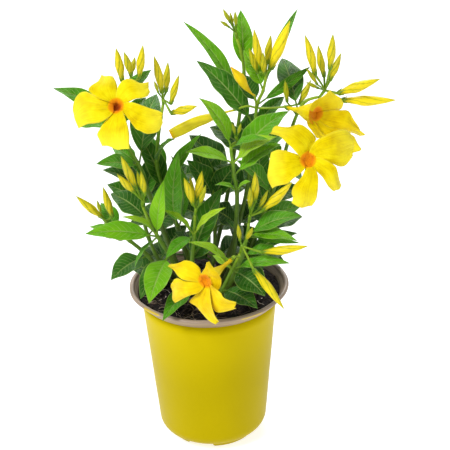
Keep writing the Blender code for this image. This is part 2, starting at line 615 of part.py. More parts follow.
def make_liner(material):
    """The taupe layer: a cup inside the pot, with the flared collar and rolled lip at its top."""
    lift = LAYER + CLEARANCE
    outside = cup_outline(lift, FOOT_HEIGHT + lift, COLLAR_FOOT, HIDDEN_STEPS)
    inside = cup_outline(lift + LAYER, FOOT_HEIGHT + lift + LAYER, COLLAR_FOOT + LEDGE_RISE * 0.4,
                         HIDDEN_STEPS)
    outline = outside + collar_outline() + list(reversed(inside))
    profile = [fixed(0.0, FOOT_HEIGHT + lift)]
    profile += [fixed(radius, height) for radius, height in outline]
    profile.append(fixed(0.0, FOOT_HEIGHT + lift + LAYER))
    points, faces = turned(profile, POT_SIDES)
    liner = make_solid("pot_liner", points, faces)
    combine(liner, drain_cutters(), "DIFFERENCE")
    return finish(liner, material)


# Soil
def soil_height(across, back):
    """Height of the soil's surface: low hills that die away at the liner."""
    hills = math.sin(across * 210.0 + 0.6) * math.cos(back * 170.0 - 0.4)
    hills += 0.5 * math.sin(across * 430.0 - back * 380.0 + 1.1)
    edge = min(1.0, max(0.0, (SOIL_EDGE - math.hypot(across, back)) / SOIL_EDGE_FADE))
    return SOIL_TOP + SOIL_HILLS * hills * edge


def surface_point(radius):
    def place(angle):
        return radius, soil_height(radius * math.cos(angle), radius * math.sin(angle))
    return place


def make_soil(material):
    inward = 2 * LAYER + 2 * CLEARANCE
    outside = cup_outline(inward, FOOT_HEIGHT + inward, COLLAR_FOOT + LEDGE_RISE * 0.4, HIDDEN_STEPS)
    edge = ledge_radius() - CLEARANCE
    outside += [(edge, COLLAR_FOOT + LEDGE_RISE + CLEARANCE), (edge, SOIL_TOP)]
    profile = [fixed(0.0, FOOT_HEIGHT + inward)]
    profile += [fixed(radius, height) for radius, height in outside]
    profile += [surface_point(edge * share) for share in SOIL_RINGS]
    profile.append(fixed(0.0, soil_height(0.0, 0.0)))
    points, faces = turned(profile, SOIL_SIDES)
    soil = make_solid("soil", points, faces)
    holes = []
    for shoot in SHOOTS.values():
        middle = Vector((shoot.foot[0] * MM, shoot.foot[1] * MM, SOIL_TOP))
        holes.append(upright_rod(middle, STEM_FOOT_RADIUS + HOLE_MARGIN, HOLE_DEPTH, HOLE_SIDES))
    combine(soil, holes, "DIFFERENCE")
    return finish(soil, material)


# Stems
def stem_path(shoot):
    """Points up a shoot's stem from the bottom of its hole, and the index of each node along them."""
    across, back = shoot.foot[0] * MM, shoot.foot[1] * MM
    bottom = Vector((across, back, SOIL_TOP - HOLE_DEPTH + CLEARANCE))
    collar = Vector((across, back, SOIL_TOP + STEM_COLLAR))
    above, kept = smooth_path([collar] + [spot(*place) for place in shoot.stem])
    return [bottom] + above, [index + 1 for index in kept[1:]]


def stem_radii(count):
    return [STEM_FOOT_RADIUS + (STEM_TIP_RADIUS - STEM_FOOT_RADIUS) * index / (count - 1)
            for index in range(count)]


def stem_ends(shoot):
    """The last point and the way ahead at the end of the stem and of each twig, with the radius there."""
    path, nodes = stem_path(shoot)
    ends = [(path[-1], (path[-1] - path[-2]).normalized(), STEM_TIP_RADIUS)]
    for way in twig_paths(shoot):
        ends.append((way[-1], (way[-1] - way[-2]).normalized(), TWIG_RADIUS))
    return ends


def twig_paths(shoot):
    """Points along each twig, which starts inside the stem just below its node."""
    path, nodes = stem_path(shoot)
    ways = []
    for node, places in shoot.twigs:
        below = path[nodes[node] - 1] - path[nodes[node]]
        root = path[nodes[node]] + below.normalized() * TWIG_SETBACK
        ways.append([root] + [spot(*place) for place in places])
    return ways


def stem_pieces(shoot):
    """The stem and its twigs, each as points and faces."""
    path, nodes = stem_path(shoot)
    pieces = [tube(path, stem_radii(len(path)), STEM_SIDES)]
    for way in twig_paths(shoot):
        pieces.append(tube(way, [TWIG_RADIUS] * len(way), STEM_SIDES))
    return pieces


# Leaves
def blade_share(along):
    """A blade's half width at a share of its length, as a share of its widest."""
    return math.sin(math.pi * min(along, BLADE_END) ** 0.82) ** 0.9


def leaf_places(base, tip, width, roll, swing, lift, stations):
    """Middle, side direction, upward direction and half width at stations from stalk to tip.

    Swing and lift turn the leaf about its base, in degrees, sideways and up.
    """
    ahead = tip - base
    length = ahead.length
    ahead.normalize()
    upward = -FORWARD * 0.45 + Vector((0.0, 0.0, 1.0)) * 0.75
    upward = (upward - ahead * upward.dot(ahead)).normalized()
    side = ahead.cross(upward)
    turn = Matrix.Rotation(math.radians(swing), 3, upward) @ Matrix.Rotation(math.radians(lift), 3, side)
    ahead, upward = turn @ ahead, turn @ upward
    side = ahead.cross(upward)
    bank = Matrix.Rotation(math.radians(roll), 3, ahead)
    side, upward = bank @ side, bank @ upward
    places = []
    for along in stations:
        arch = 4.0 * along * (1.0 - along) * LEAF_ARCH * length
        middle = base + ahead * length * along + upward * arch
        blade = (along - BLADE_START) / (1.0 - BLADE_START)
        half = max(PETIOLE_RADIUS, width / 2 * blade_share(blade)) if blade > 0.0 else PETIOLE_RADIUS
        places.append((middle, side, upward, half))
    return places


def leaf_solid(places, spare=0.0):
    """Points and faces of a leaf: a stalk and a blade with a thick rib, folded up along the rib."""
    corners, faces = [], []
    for index, (middle, side, upward, half) in enumerate(places):
        stalk = half <= PETIOLE_RADIUS
        fold = 0.0 if stalk else half * LEAF_FOLD
        thick = PETIOLE_RADIUS if stalk else LEAF_THICKNESS / 2
        corners += [middle - side * (half + spare) + upward * fold, middle + upward * (thick + spare),
                    middle + side * (half + spare) + upward * fold, middle - upward * (thick + spare)]
    for ring in range(len(places) - 1):
        a = ring * 4
        b = a + 4
        for first, second in ((1, 0), (1, 2), (3, 2), (3, 0)):
            rib, edge = a + first, a + second
            rib_on, edge_on = b + first, b + second
            if (first, second) in ((1, 0), (3, 2)):
                faces += [(rib, rib_on, edge), (edge, rib_on, edge_on)]
            else:
                faces += [(rib, edge, rib_on), (edge, edge_on, rib_on)]
    last = len(corners) - 4
    faces += [(0, 1, 3), (1, 2, 3), (last + 1, last, last + 3), (last + 1, last + 3, last + 2)]
    return corners, faces


def clear_leaf(owner, base, leaf):
    """The swing and lift, smallest first, with which a leaf crosses nothing that stands already."""
    tip = spot(*leaf.tip)

    def others(other, kind):
        return other != owner

    def own_blades(other, kind):
        return other == owner and kind == "blade"

    for swing, lift in TURNS:
        places = leaf_places(base, tip, leaf.width * MM, leaf.roll, swing, lift, LEAF_STATIONS)
        if hits(*leaf_solid(places, LEAF_GAP), others):
            continue
        if hits(*leaf_solid(places[2:], LEAF_GAP), own_blades):
            continue
        return swing, lift, True
    return 0.0, 0.0, False


def make_shoot_leaves(owner, shoot):
    """The leaves of a shoot as points and faces, each turned clear."""
    path, nodes = stem_path(shoot)
    leaves = []
    for leaf in shoot.leaves:
        base = path[min(nodes[leaf.node], len(path) - 2)]
        swing, lift, clear = clear_leaf(owner, base, leaf)
        if not clear:
            print(owner, "leaf at", leaf.tip, "finds no clear place")
            continue
        places = leaf_places(base, spot(*leaf.tip), leaf.width * MM, leaf.roll, swing, lift, LEAF_STATIONS)
        points, faces = leaf_solid(places)
        remember(owner, *leaf_solid(places[1:]), "blade")
        leaves.append((points, faces))
    return leaves


# Buds
def bud_stick(knot, bud):
    """A stalk from the knot, the calyx and the pointed, twisted bud, as one body."""
    start, tip = spot(*bud.start), spot(*bud.tip)
    ahead = tip - start
    girth = bud.girth * MM
    path = [knot]
    radii = [PEDICEL_RADIUS]
    for share, thickness in BUD_SHARES:
        path.append(start + ahead * share)
        radii.append(max(girth * thickness, PEDICEL_RADIUS * 0.3))
    return tube(path, radii, BUD_SIDES, BUD_TWIST)


def cluster_stalk(end, knot):
    """The stalk from a stem's end to the knot; it begins a gap away from the end, in line with it."""
    point, ahead, radius = end
    start = point + ahead * CLEARANCE
    return tube([start, start + ahead * 0.0015, knot, knot + (knot - start).normalized() * 0.0012],
                [radius, radius, KNOT_RADIUS, KNOT_RADIUS * 0.5], STEM_SIDES)


# Blooms
def petal_height(reach, aside, length, droop):
    """How far a petal's middle surface lies in front of the throat, at a way out and a way over."""
    share = max(0.0, (reach - PETAL_SEAT) / (length - PETAL_SEAT))
    rise = PETAL_RISE * length * math.sin(math.pi / 2 * min(1.0, share * 1.6))
    return rise + PETAL_PITCH * aside - droop * length * share ** 2.2


def on_plane(place, point, axis):
    """Where the line from the eye to a place meets the plane through a point and across an axis."""
    ray = place - EYE
    return EYE + ray * ((point - EYE).dot(axis) / ray.dot(axis))


def laid_back(place, throat, axis, out, length, droop):
    """A spot's way out and way over on the petal's surface, which the eye's line to it meets."""
    over = axis.cross(out)
    height = 0.0
    for step in range(LAYING_STEPS):
        off = on_plane(spot(*place, 0.0), throat + axis * height, axis) - throat
        height += 0.5 * (petal_height(off.dot(out), off.dot(over), length, droop) - height)
    return Vector((off.dot(out), off.dot(over)))


def shares_along(places, shares):
    """Points at shares of the run along a line through places."""
    runs = [0.0]
    for before, after in zip(places, places[1:]):
        runs.append(runs[-1] + (after - before).length)
    points = []
    for share in shares:
        run = share * runs[-1]
        index = max(i for i in range(len(places) - 1) if runs[i] <= run)
        part = (run - runs[index]) / (runs[index + 1] - runs[index])
        points.append(places[index].lerp(places[index + 1], part))
    return points


def petal_grid(throat, axis, petal, droop):
    """Rows of points on a petal's middle surface, a patch between its edges, its seat and its end."""
    middle = (Vector(petal.first[-1]) + Vector(petal.second[-1])) / 2
    far = on_plane(spot(*middle, 0.0), throat, axis) - throat
    length, out = far.length, far.normalized()
    over = axis.cross(out)

    def lay(places):
        return [laid_back(place, throat, axis, out, length, droop) for place in places]

    first, second = lay(petal.first), lay(petal.second)
    end = shares_along([first[-1]] + lay(petal.end) + [second[-1]], PETAL_ACROSS)
    rows = []
    for along, left, right in zip(PETAL_STATIONS, shares_along(first, PETAL_STATIONS),
                                  shares_along(second, PETAL_STATIONS)):
        row = []
        for across, tip in zip(PETAL_ACROSS, end):
            flat = left.lerp(right, across) + (tip - end[0].lerp(end[-1], across)) * along
            height = petal_height(flat.x, flat.y, length, droop)
            row.append(throat + out * flat.x + over * flat.y + axis * height)
        rows.append(row)
    return rows


def sheet(rows, thickness):
    """Points and faces of a sheet of even thickness over rows of points."""
    height, width = len(rows), len(rows[0])
    fronts, backs = [], []
    for r in range(height):
        for c in range(width):
            along = rows[min(r + 1, height - 1)][c] - rows[max(r - 1, 0)][c]
            across = rows[r][min(c + 1, width - 1)] - rows[r][max(c - 1, 0)]
            normal = along.cross(across).normalized() * thickness / 2
            fronts.append(rows[r][c] + normal)
            backs.append(rows[r][c] - normal)
    offset = len(fronts)
    faces = []
    for r in range(height - 1):
        for c in range(width - 1):
            a, b = r * width + c, r * width + c + 1
            d, e = a + width, b + width
            faces += [(a, b, e), (a, e, d)]
            faces += [(a + offset, e + offset, b + offset), (a + offset, d + offset, e + offset)]
    edge = [c for c in range(width)] + [r * width + width - 1 for r in range(1, height)]
    edge += [(height - 1) * width + c for c in reversed(range(width - 1))]
    edge += [r * width for r in reversed(range(1, height - 1))]
    for index, here in enumerate(edge):
        after = edge[(index + 1) % len(edge)]
        faces += [(here, here + offset, after + offset), (here, after + offset, after)]
    return fronts + backs, faces


def bloom_pieces(bloom):
    """The tube with its hollow throat, and its petals, which overlap in a pinwheel."""
    end, ahead, radius = stem_ends(SHOOTS[bloom.shoot])[bloom.end]
    throat = spot(*bloom.throat)
    start = end + ahead * CLEARANCE
    axis = (throat - start).normalized()
    length = (throat - start).length
    path = [start, start + ahead * 0.002, start + axis * length * 0.16]
    radii = [radius, radius, CALYX_RADIUS * 1.3]
    for share, thickness in TUBE_SHARES:
        path.append(start + axis * length * share)
        radii.append(THROAT_RADIUS * thickness * (1.0 + (bloom.wide - 1.0) * share))
    path += [throat + axis * THROAT_LIP, throat, throat - axis * THROAT_DROP]
    mouth = THROAT_RADIUS * bloom.wide
    radii += [mouth * 1.28, mouth * 0.84, mouth * 0.34]
    pieces = [funnel(path, radii, FUNNEL_SIDES)]
    for petal in bloom.petals:
        pieces.append(sheet(petal_grid(throat, axis, petal, bloom.droop), PETAL_THICKNESS))
    return pieces


def funnel(path, radii, sides):
    """A round body whose last two points run back inside it as a hollow."""
    aheads, directions = steps_along(path[:-2])
    aheads += [aheads[-1]] * 2
    directions += [directions[-1]] * 2
    corners = []
    for centre, radius, ahead, side in zip(path, radii, aheads, directions):
        for number in range(sides):
            turn = Matrix.Rotation(math.tau * number / sides, 3, ahead)
            corners.append(centre + turn @ side * radius)
    faces = []
    for ring in range(len(path) - 1):
        for number in range(sides):
            beside = (number + 1) % sides
            a, b = ring * sides + number, ring * sides + beside
            faces += [(a, b, b + sides), (a, b + sides, a + sides)]
    faces.append(tuple(reversed(range(sides))))
    faces.append(tuple(range(len(corners) - sides, len(corners))))
    return corners, faces


def shut_flower_pieces(shoot, number, places, radii):
    """A flower that is rolled shut, from the end it grows on."""
    end, ahead, radius = stem_ends(SHOOTS[shoot])[number]
    start = end + ahead * CLEARANCE
    path = [start, start + ahead * 0.002] + [spot(*place) for place in places]
    sizes = [radius, radius] + [size * MM for size in radii]
    return [tube(path, sizes, FUNNEL_SIDES, BUD_TWIST * 0.5)]


# The whole plant
def build_node(name, pieces, material):
    items = [make_solid(name, points, faces) for points, faces in pieces]
    items[0].name = name
    if len(items) > 1:
        combine(items[0], items[1:], "UNION")
    return finish(items[0], material)


def cross_check(name, pieces):
    """Print which nodes a new one crosses."""
    for points, faces in pieces:
        found = hits(points, faces, lambda owner, kind: owner != name)
        if found:
            print(name, "crosses", sorted(found))


def front_first():
    """Shoots in the order in which their leaves take their places, the nearest to the viewer first."""
    return sorted(SHOOTS, key=lambda name: -sum(place[2] for place in SHOOTS[name].stem[:3]))


def make_plant():
    leaf_green = make_material("leaf", LEAF_COLOUR, GLOSSY)
    petal_yellow = make_material("petal", PETAL_COLOUR, SATIN)
    bud_yellow = make_material("bud", BUD_COLOUR, SATIN)
    nodes = {}
    for name, shoot in SHOOTS.items():
        nodes["shoot_" + name] = stem_pieces(shoot)
    for name, bloom in BLOOMS.items():
        nodes[name] = bloom_pieces(bloom)
    nodes["bloom_rolled"] = shut_flower_pieces(*ROLLED)
    nodes["bloom_half_open"] = shut_flower_pieces(*HALF_OPEN)
    for name, cluster in CLUSTERS.items():
        end = stem_ends(SHOOTS[cluster.shoot])[cluster.end]
        knot = spot(*cluster.knot)
        nodes[name] = [cluster_stalk(end, knot)] + [bud_stick(knot, bud) for bud in cluster.buds]
    for name, pieces in nodes.items():
        cross_check(name, pieces)
        for points, faces in pieces:
            remember(name, points, faces)
    for name in front_first():
        nodes["shoot_" + name] += make_shoot_leaves("shoot_" + name, SHOOTS[name])
    for name, pieces in nodes.items():
        material = leaf_green
        if name.startswith("bloom"):
            material = petal_yellow
        elif name.startswith("buds"):
            material = bud_yellow
        build_node(name, pieces, material)


def remember_item(item):
    remember(item.name, [vertex.co.copy() for vertex in item.data.vertices],
             [tuple(polygon.vertices) for polygon in item.data.polygons])


def main():
    clear_scene()
    remember_item(make_pot(make_material("pot_yellow", POT_COLOUR, SATIN)))
    remember_item(make_liner(make_material("liner_taupe", LINER_COLOUR, SATIN)))
    remember_item(make_soil(make_material("soil_dark", SOIL_COLOUR, MATTE)))
    make_plant()


main()
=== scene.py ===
# %% [markdown]
# # A potted yellow mandevilla
# The plant stands in a nursery pot of the 6-inch class. Its solids are loaded as a fixed frame, and each one
# is replaced here by a finer piece of the same form: veined leaves, wrapped buds, ruffled petals and a satin
# pot.
# %% Load the frame
import math
import random
from collections import namedtuple
import bmesh
import bpy
import numpy as np
from mathutils import Matrix, Vector
from mathutils.kdtree import KDTree


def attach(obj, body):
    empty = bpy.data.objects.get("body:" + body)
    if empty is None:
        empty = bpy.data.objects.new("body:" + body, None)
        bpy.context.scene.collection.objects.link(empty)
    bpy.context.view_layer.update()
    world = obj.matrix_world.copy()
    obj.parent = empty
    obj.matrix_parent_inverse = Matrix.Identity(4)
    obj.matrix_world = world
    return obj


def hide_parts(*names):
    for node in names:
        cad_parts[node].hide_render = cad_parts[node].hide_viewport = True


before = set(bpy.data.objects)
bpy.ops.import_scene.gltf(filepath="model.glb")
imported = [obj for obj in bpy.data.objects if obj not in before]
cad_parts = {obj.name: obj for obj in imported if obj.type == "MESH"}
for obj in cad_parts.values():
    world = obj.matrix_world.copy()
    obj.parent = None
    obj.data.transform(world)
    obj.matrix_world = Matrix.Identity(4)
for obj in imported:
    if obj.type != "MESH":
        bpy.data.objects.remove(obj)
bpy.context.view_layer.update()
print(len(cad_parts), "solids in the frame")

# %% [markdown]
# ## The view
# Every place on the plant was read from a front view, in which one unit is 1 mm at the plant. A spot is how
# far across and down it lies in that view, and how many mm in front of the pot's axis. The same eye makes the
# camera, so pieces and picture agree.
# %% The eye and spots seen from it
MM = 0.001
EYE_ELEVATION = math.radians(26.0)
EYE_ROLL = math.radians(1.6)
EYE_DISTANCE = 1.62
AIM = Vector((0.018, 0.0, 0.234))
PICTURE_MIDDLE = 225.0
FORWARD = Vector((0.0, math.cos(EYE_ELEVATION), -math.sin(EYE_ELEVATION)))
UPRIGHT = Vector((0.0, math.sin(EYE_ELEVATION), math.cos(EYE_ELEVATION)))
LEVEL = Vector((1.0, 0.0, 0.0))
RIGHT = LEVEL * math.cos(EYE_ROLL) - UPRIGHT * math.sin(EYE_ROLL)
UP = LEVEL * math.sin(EYE_ROLL) + UPRIGHT * math.cos(EYE_ROLL)
EYE = AIM - FORWARD * EYE_DISTANCE


def spot(across, down, near):
    ray = (FORWARD * EYE_DISTANCE + RIGHT * (across - PICTURE_MIDDLE) * MM
           + UP * (PICTURE_MIDDLE - down) * MM)
    return EYE + ray * ((-near * MM - EYE.y) / ray.y)


# %% The camera
SENSOR_WIDTH = 36.0
lens = bpy.data.cameras.new("camera")
lens.sensor_width = SENSOR_WIDTH
lens.lens = SENSOR_WIDTH * EYE_DISTANCE / (2.0 * PICTURE_MIDDLE * MM)
camera = bpy.data.objects.new("camera", lens)
bpy.context.scene.collection.objects.link(camera)
turn = Matrix((RIGHT, UP, -FORWARD)).transposed()
camera.matrix_world = Matrix.Translation(EYE) @ turn.to_4x4()
bpy.context.scene.camera = camera
print("camera", round(lens.lens, 1), "mm lens at", [round(value, 3) for value in EYE])

# %% [markdown]
# ## Light
# The plant was lit softly from all round on white. A pale sky gives the even base. The key lamp, high on the
# left, gives the leaves their whitish gloss and the petals their shading. A weak broad lamp fills the right,
# and a strong broad one above and behind lights the plant's edges. Discs are used, because their shadows are
# soft.
# %% Sky and lamps
SKY_STRENGTH = 0.42
world = bpy.data.worlds.new("studio")
bpy.context.scene.world = world
world.use_nodes = True
world.node_tree.nodes["Background"].inputs["Color"].default_value = (1.0, 1.0, 1.0, 1.0)
world.node_tree.nodes["Background"].inputs["Strength"].default_value = SKY_STRENGTH
bpy.context.scene.view_settings.view_transform = "Standard"


def soft_lamp(name, place, size, power):
    light = bpy.data.lights.new(name, "AREA")
    light.shape = "DISK"
    light.size = size
    light.energy = power
    lamp = bpy.data.objects.new(name, light)
    bpy.context.scene.collection.objects.link(lamp)
    lamp.location = place
    lamp.rotation_euler = (AIM - Vector(place)).to_track_quat("-Z", "Y").to_euler()


soft_lamp("key", (-1.1, -0.9, 1.7), 0.6, 30.0)
soft_lamp("fill", (1.4, -1.2, 0.9), 1.4, 5.0)
soft_lamp("back", (0.1, 1.7, 1.6), 1.5, 34.0)

# %% [markdown]
# ## Gathering a piece
# Leaves, buds and petals are all skins over rows of points. A gatherer collects them with marks at each
# point, such as how far along a leaf it lies, and the materials read the marks. Marks are exact at any scale,
# which painted images aren't.
# %% A piece and its marks
MARKS = ("along", "across", "tone", "under", "glow")


class Piece:
    def __init__(self):
        self.points, self.faces, self.finishes = [], [], []
        self.marks = {name: [] for name in MARKS}

    def add(self, points, faces, finish=0, **marks):
        start = len(self.points)
        self.points += [tuple(point) for point in points]
        self.faces += [tuple(start + corner for corner in face) for face in faces]
        self.finishes += [finish] * len(faces)
        for name in MARKS:
            value = marks.get(name, 0.0)
            self.marks[name] += list(value) if hasattr(value, "__len__") else [value] * len(points)

    def build(self, name, materials, slot, *nodes):
        mesh = bpy.data.meshes.new(name)
        mesh.from_pydata(self.points, [], self.faces)
        for material in materials:
            mesh.materials.append(material)
        mesh.polygons.foreach_set("material_index", self.finishes)
        for mark, values in self.marks.items():
            mesh.attributes.new(mark, "FLOAT", "POINT").data.foreach_set("value", values)
        shape = bmesh.new()
        shape.from_mesh(mesh)
        bmesh.ops.recalc_face_normals(shape, faces=shape.faces[:])
        shape.to_mesh(mesh)
        shape.free()
        mesh.shade_smooth()
        item = bpy.data.objects.new(name, mesh)
        bpy.context.scene.collection.objects.link(item)
        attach(item, "root")
        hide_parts(*nodes)


# %% Skins over rows of points
def row_faces(rows, columns, closed):
    faces = []
    last = columns if closed else columns - 1
    for row in range(rows - 1):
        for column in range(last):
            a = row * columns + column
            b = row * columns + (column + 1) % columns
            faces.append((a, b, b + columns, a + columns))
    return faces


def thin_sheet(top, bottom):
    """Points and faces of a closed sheet between two grids of points."""
    rows, columns = top.shape[:2]
    points = np.concatenate([top.reshape(-1, 3), bottom.reshape(-1, 3)])
    count = rows * columns
    faces = row_faces(rows, columns, False)
    faces += [tuple(count + corner for corner in reversed(face)) for face in faces]
    edge = list(range(columns)) + [row * columns + columns - 1 for row in range(1, rows)]
    edge += [(rows - 1) * columns + column for column in reversed(range(columns - 1))]
    edge += [row * columns for row in reversed(range(1, rows - 1))]
    for index, here in enumerate(edge):
        after = edge[(index + 1) % len(edge)]
        faces.append((here, here + count, after + count, after))
    return points, faces


# %% Smooth curves and rods
def along_curve(points, steps):
    """Points on a smooth curve through the given ones, steps of them to a stretch."""
    path = []
    for index in range(len(points) - 1):
        a, b = points[max(index - 1, 0)], points[index]
        c, d = points[index + 1], points[min(index + 2, len(points) - 1)]
        for step in range(steps):
            t = step / steps
            path.append(0.5 * (2 * b + (c - a) * t + (2 * a - 5 * b + 4 * c - d) * t ** 2
                               + (3 * b - a - 3 * c + d) * t ** 3))
    return path + [points[-1]]


def round_rows(points, radii, sides, turns=0.0, lobes=None):
    """A grid of points round a path. Lobes, a function of turn and share along, scales the radius."""
    side = None
    rows = []
    for index, centre in enumerate(points):
        before, after = points[max(index - 1, 0)], points[min(index + 1, len(points) - 1)]
        ahead = (after - before).normalized()
        side = side or ahead.orthogonal().normalized()
        side = (side - ahead * side.dot(ahead)).normalized()
        over = ahead.cross(side)
        share = index / (len(points) - 1)
        row = []
        for number in range(sides):
            angle = math.tau * number / sides
            radius = radii[index] * (lobes(angle + turns * share, share) if lobes else 1.0)
            row.append(centre + side * math.cos(angle) * radius + over * math.sin(angle) * radius)
        rows.append(row)
    return np.array(rows)


def rod(points, radii, sides, turns=0.0, lobes=None):
    rows = round_rows(points, radii, sides, turns, lobes)
    faces = row_faces(len(points), sides, True)
    count = len(points) * sides
    faces += [tuple(reversed(range(sides))), tuple(range(count - sides, count))]
    return rows.reshape(-1, 3), faces


def spread(radii, count):
    """The radii at count even steps, eased between the given ones."""
    eased = along_curve([Vector((radius, 0.0)) for radius in radii], 8)
    places = np.linspace(0, len(eased) - 1, count)
    return np.interp(places, range(len(eased)), [value.x for value in eased])


# %% [markdown]
# ## Materials
# Each finish is built from nodes. Short helpers keep them readable: one adds a node and joins it up, one
# reads a mark, and one does arithmetic. Colours are named as they are seen, from 0 to 255, and turned into
# light. Noise takes the object's own place, so that nothing slides or stretches from one side to another.
# %% Node helpers
BUMP_STRENGTH = 0.8


def shown(red, green, blue):
    def light(value):
        value /= 255.0
        return value / 12.92 if value <= 0.04045 else ((value + 0.055) / 1.055) ** 2.4
    return (light(red), light(green), light(blue), 1.0)


def add_node(tree, kind, inputs=None, **settings):
    node = tree.nodes.new(kind)
    for name, value in settings.items():
        setattr(node, name, value)
    for name, value in (inputs or {}).items():
        if isinstance(value, bpy.types.NodeSocket):
            tree.links.new(value, node.inputs[name])
        else:
            node.inputs[name].default_value = value
    return node


def mark(tree, name):
    return add_node(tree, "ShaderNodeAttribute", attribute_name=name).outputs["Fac"]


def maths(tree, operation, *values):
    return add_node(tree, "ShaderNodeMath", dict(enumerate(values)), operation=operation).outputs[0]


def ramp_to(tree, value, low, high, start=0.0, stop=1.0):
    """A number that eases from start to stop as value goes from low to high."""
    return add_node(tree, "ShaderNodeMapRange",
                    {"Value": value, "From Min": low, "From Max": high, "To Min": start, "To Max": stop},
                    interpolation_type="SMOOTHSTEP").outputs["Result"]


def colours(tree, value, *stops):
    node = add_node(tree, "ShaderNodeValToRGB", {"Fac": value})
    elements = node.color_ramp.elements
    while len(elements) < len(stops):
        elements.new(0.5)
    for element, (place, colour) in zip(elements, stops):
        element.position = place
        element.color = shown(*colour)
    return node.outputs["Color"]


def blended(tree, share, first, second):
    node = add_node(tree, "ShaderNodeMix", data_type="RGBA")
    for name, value in (("Factor_Float", share), ("A_Color", first), ("B_Color", second)):
        socket = next(entry for entry in node.inputs if entry.identifier == name)
        if isinstance(value, bpy.types.NodeSocket):
            tree.links.new(value, socket)
        else:
            socket.default_value = value if name == "Factor_Float" else shown(*value)
    return next(entry for entry in node.outputs if entry.identifier == "Result_Color")


def object_place(tree):
    return add_node(tree, "ShaderNodeTexCoord").outputs["Object"]


def place_parts(tree):
    """The object's own place as three numbers."""
    node = add_node(tree, "ShaderNodeSeparateXYZ", {"Vector": object_place(tree)})
    return [node.outputs[name] for name in "XYZ"]


def stretched(tree, *pairs):
    """A vector for a texture, from three numbers and how much each one is stretched."""
    values = [maths(tree, "MULTIPLY", value, scale) for value, scale in pairs]
    return add_node(tree, "ShaderNodeCombineXYZ", dict(zip("XYZ", values))).outputs["Vector"]


def noise(tree, scale, detail=3.0, vector=None):
    inputs = {"Scale": scale, "Detail": detail, "Roughness": 0.5, "Vector": vector or object_place(tree)}
    return add_node(tree, "ShaderNodeTexNoise", inputs).outputs["Fac"]


def new_finish(name):
    material = bpy.data.materials.new(name)
    material.use_nodes = True
    return material, material.node_tree, material.node_tree.nodes["Principled BSDF"]


def dress(tree, surface, colour, roughness, height=None, depth=0.0003, **constants):
    tree.links.new(colour, surface.inputs["Base Color"])
    if isinstance(roughness, bpy.types.NodeSocket):
        tree.links.new(roughness, surface.inputs["Roughness"])
    else:
        surface.inputs["Roughness"].default_value = roughness
    if height is not None:
        inputs = {"Height": height, "Distance": depth, "Strength": BUMP_STRENGTH}
        bump = add_node(tree, "ShaderNodeBump", inputs)
        tree.links.new(bump.outputs["Normal"], surface.inputs["Normal"])
    for name, value in constants.items():
        surface.inputs[name.replace("_", " ")].default_value = value


# %% [markdown]
# ## Leaf finish
# A mandevilla leaf is leathery and glossy, from deep green when old to lime when young. A pale midrib and
# about ten pairs of side veins arch towards the tip, the skin is quilted between them, and the underside is
# paler and matt. A painted picture of veins would blur close up. Here they are lines of equal value of a
# slanted sum of the marks, so they stay crisp.
# %% Make the leaf finish
VEIN_PAIRS = 10.0
VEIN_SLANT = 0.14
VEIN_BEND = 0.07
leaf_finish, tree, surface = new_finish("leaf_green")
along, across, tone, under = (mark(tree, name) for name in ("along", "across", "tone", "under"))
out = maths(tree, "ABSOLUTE", across)
slant = maths(tree, "MULTIPLY_ADD", maths(tree, "MULTIPLY", out, out), VEIN_BEND,
              maths(tree, "MULTIPLY", out, VEIN_SLANT))
wander = maths(tree, "MULTIPLY_ADD", noise(tree, 40.0, 1.0), 0.03, -0.015)
phase = maths(tree, "MULTIPLY", maths(tree, "ADD", maths(tree, "SUBTRACT", along, slant), wander), VEIN_PAIRS)
gap = maths(tree, "ABSOLUTE", maths(tree, "SUBTRACT", maths(tree, "FRACT", phase), 0.5))
side_vein = ramp_to(tree, gap, 0.0, 0.085, 1.0, 0.0)
side_vein = maths(tree, "MULTIPLY", side_vein, ramp_to(tree, out, 0.55, 0.97, 1.0, 0.1))
midrib = ramp_to(tree, out, 0.02, 0.075, 1.0, 0.0)
vein = maths(tree, "MAXIMUM", midrib, maths(tree, "MULTIPLY", side_vein, 0.72))
mottle = noise(tree, 90.0, 4.0)
shade = maths(tree, "ADD", tone, maths(tree, "MULTIPLY_ADD", mottle, 0.30, -0.15))
green = colours(tree, shade, (0.0, (6, 42, 0)), (0.3, (34, 100, 0)), (0.55, (88, 170, 0)),
                (0.75, (130, 198, 6)), (1.0, (184, 222, 36)))
pale = blended(tree, 0.74, green, (212, 232, 146))
green = blended(tree, maths(tree, "MULTIPLY", vein, 0.72), green, pale)
edge = ramp_to(tree, out, 0.90, 1.0, 0.0, 0.62)
green = blended(tree, edge, green, (176, 208, 96))
dull = blended(tree, maths(tree, "MULTIPLY", vein, 0.5), (88, 132, 62), (168, 192, 120))
green = blended(tree, under, green, dull)
cells = add_node(tree, "ShaderNodeTexVoronoi", {"Scale": 520.0}, feature="DISTANCE_TO_EDGE")
net = ramp_to(tree, cells.outputs["Distance"], 0.0, 0.10, 0.0, 1.0)
relief = maths(tree, "MULTIPLY_ADD", net, 0.25, maths(tree, "MULTIPLY", vein, -0.6))
gloss = maths(tree, "ADD", maths(tree, "MULTIPLY", under, 0.28),
              maths(tree, "MULTIPLY_ADD", mottle, 0.24, 0.18))
dress(tree, surface, green, gloss, relief, 0.0007, Specular_IOR_Level=0.46,
      Specular_Tint=(0.88, 1.0, 0.6, 1.0))
print("leaf finish:", len(tree.nodes), "nodes")

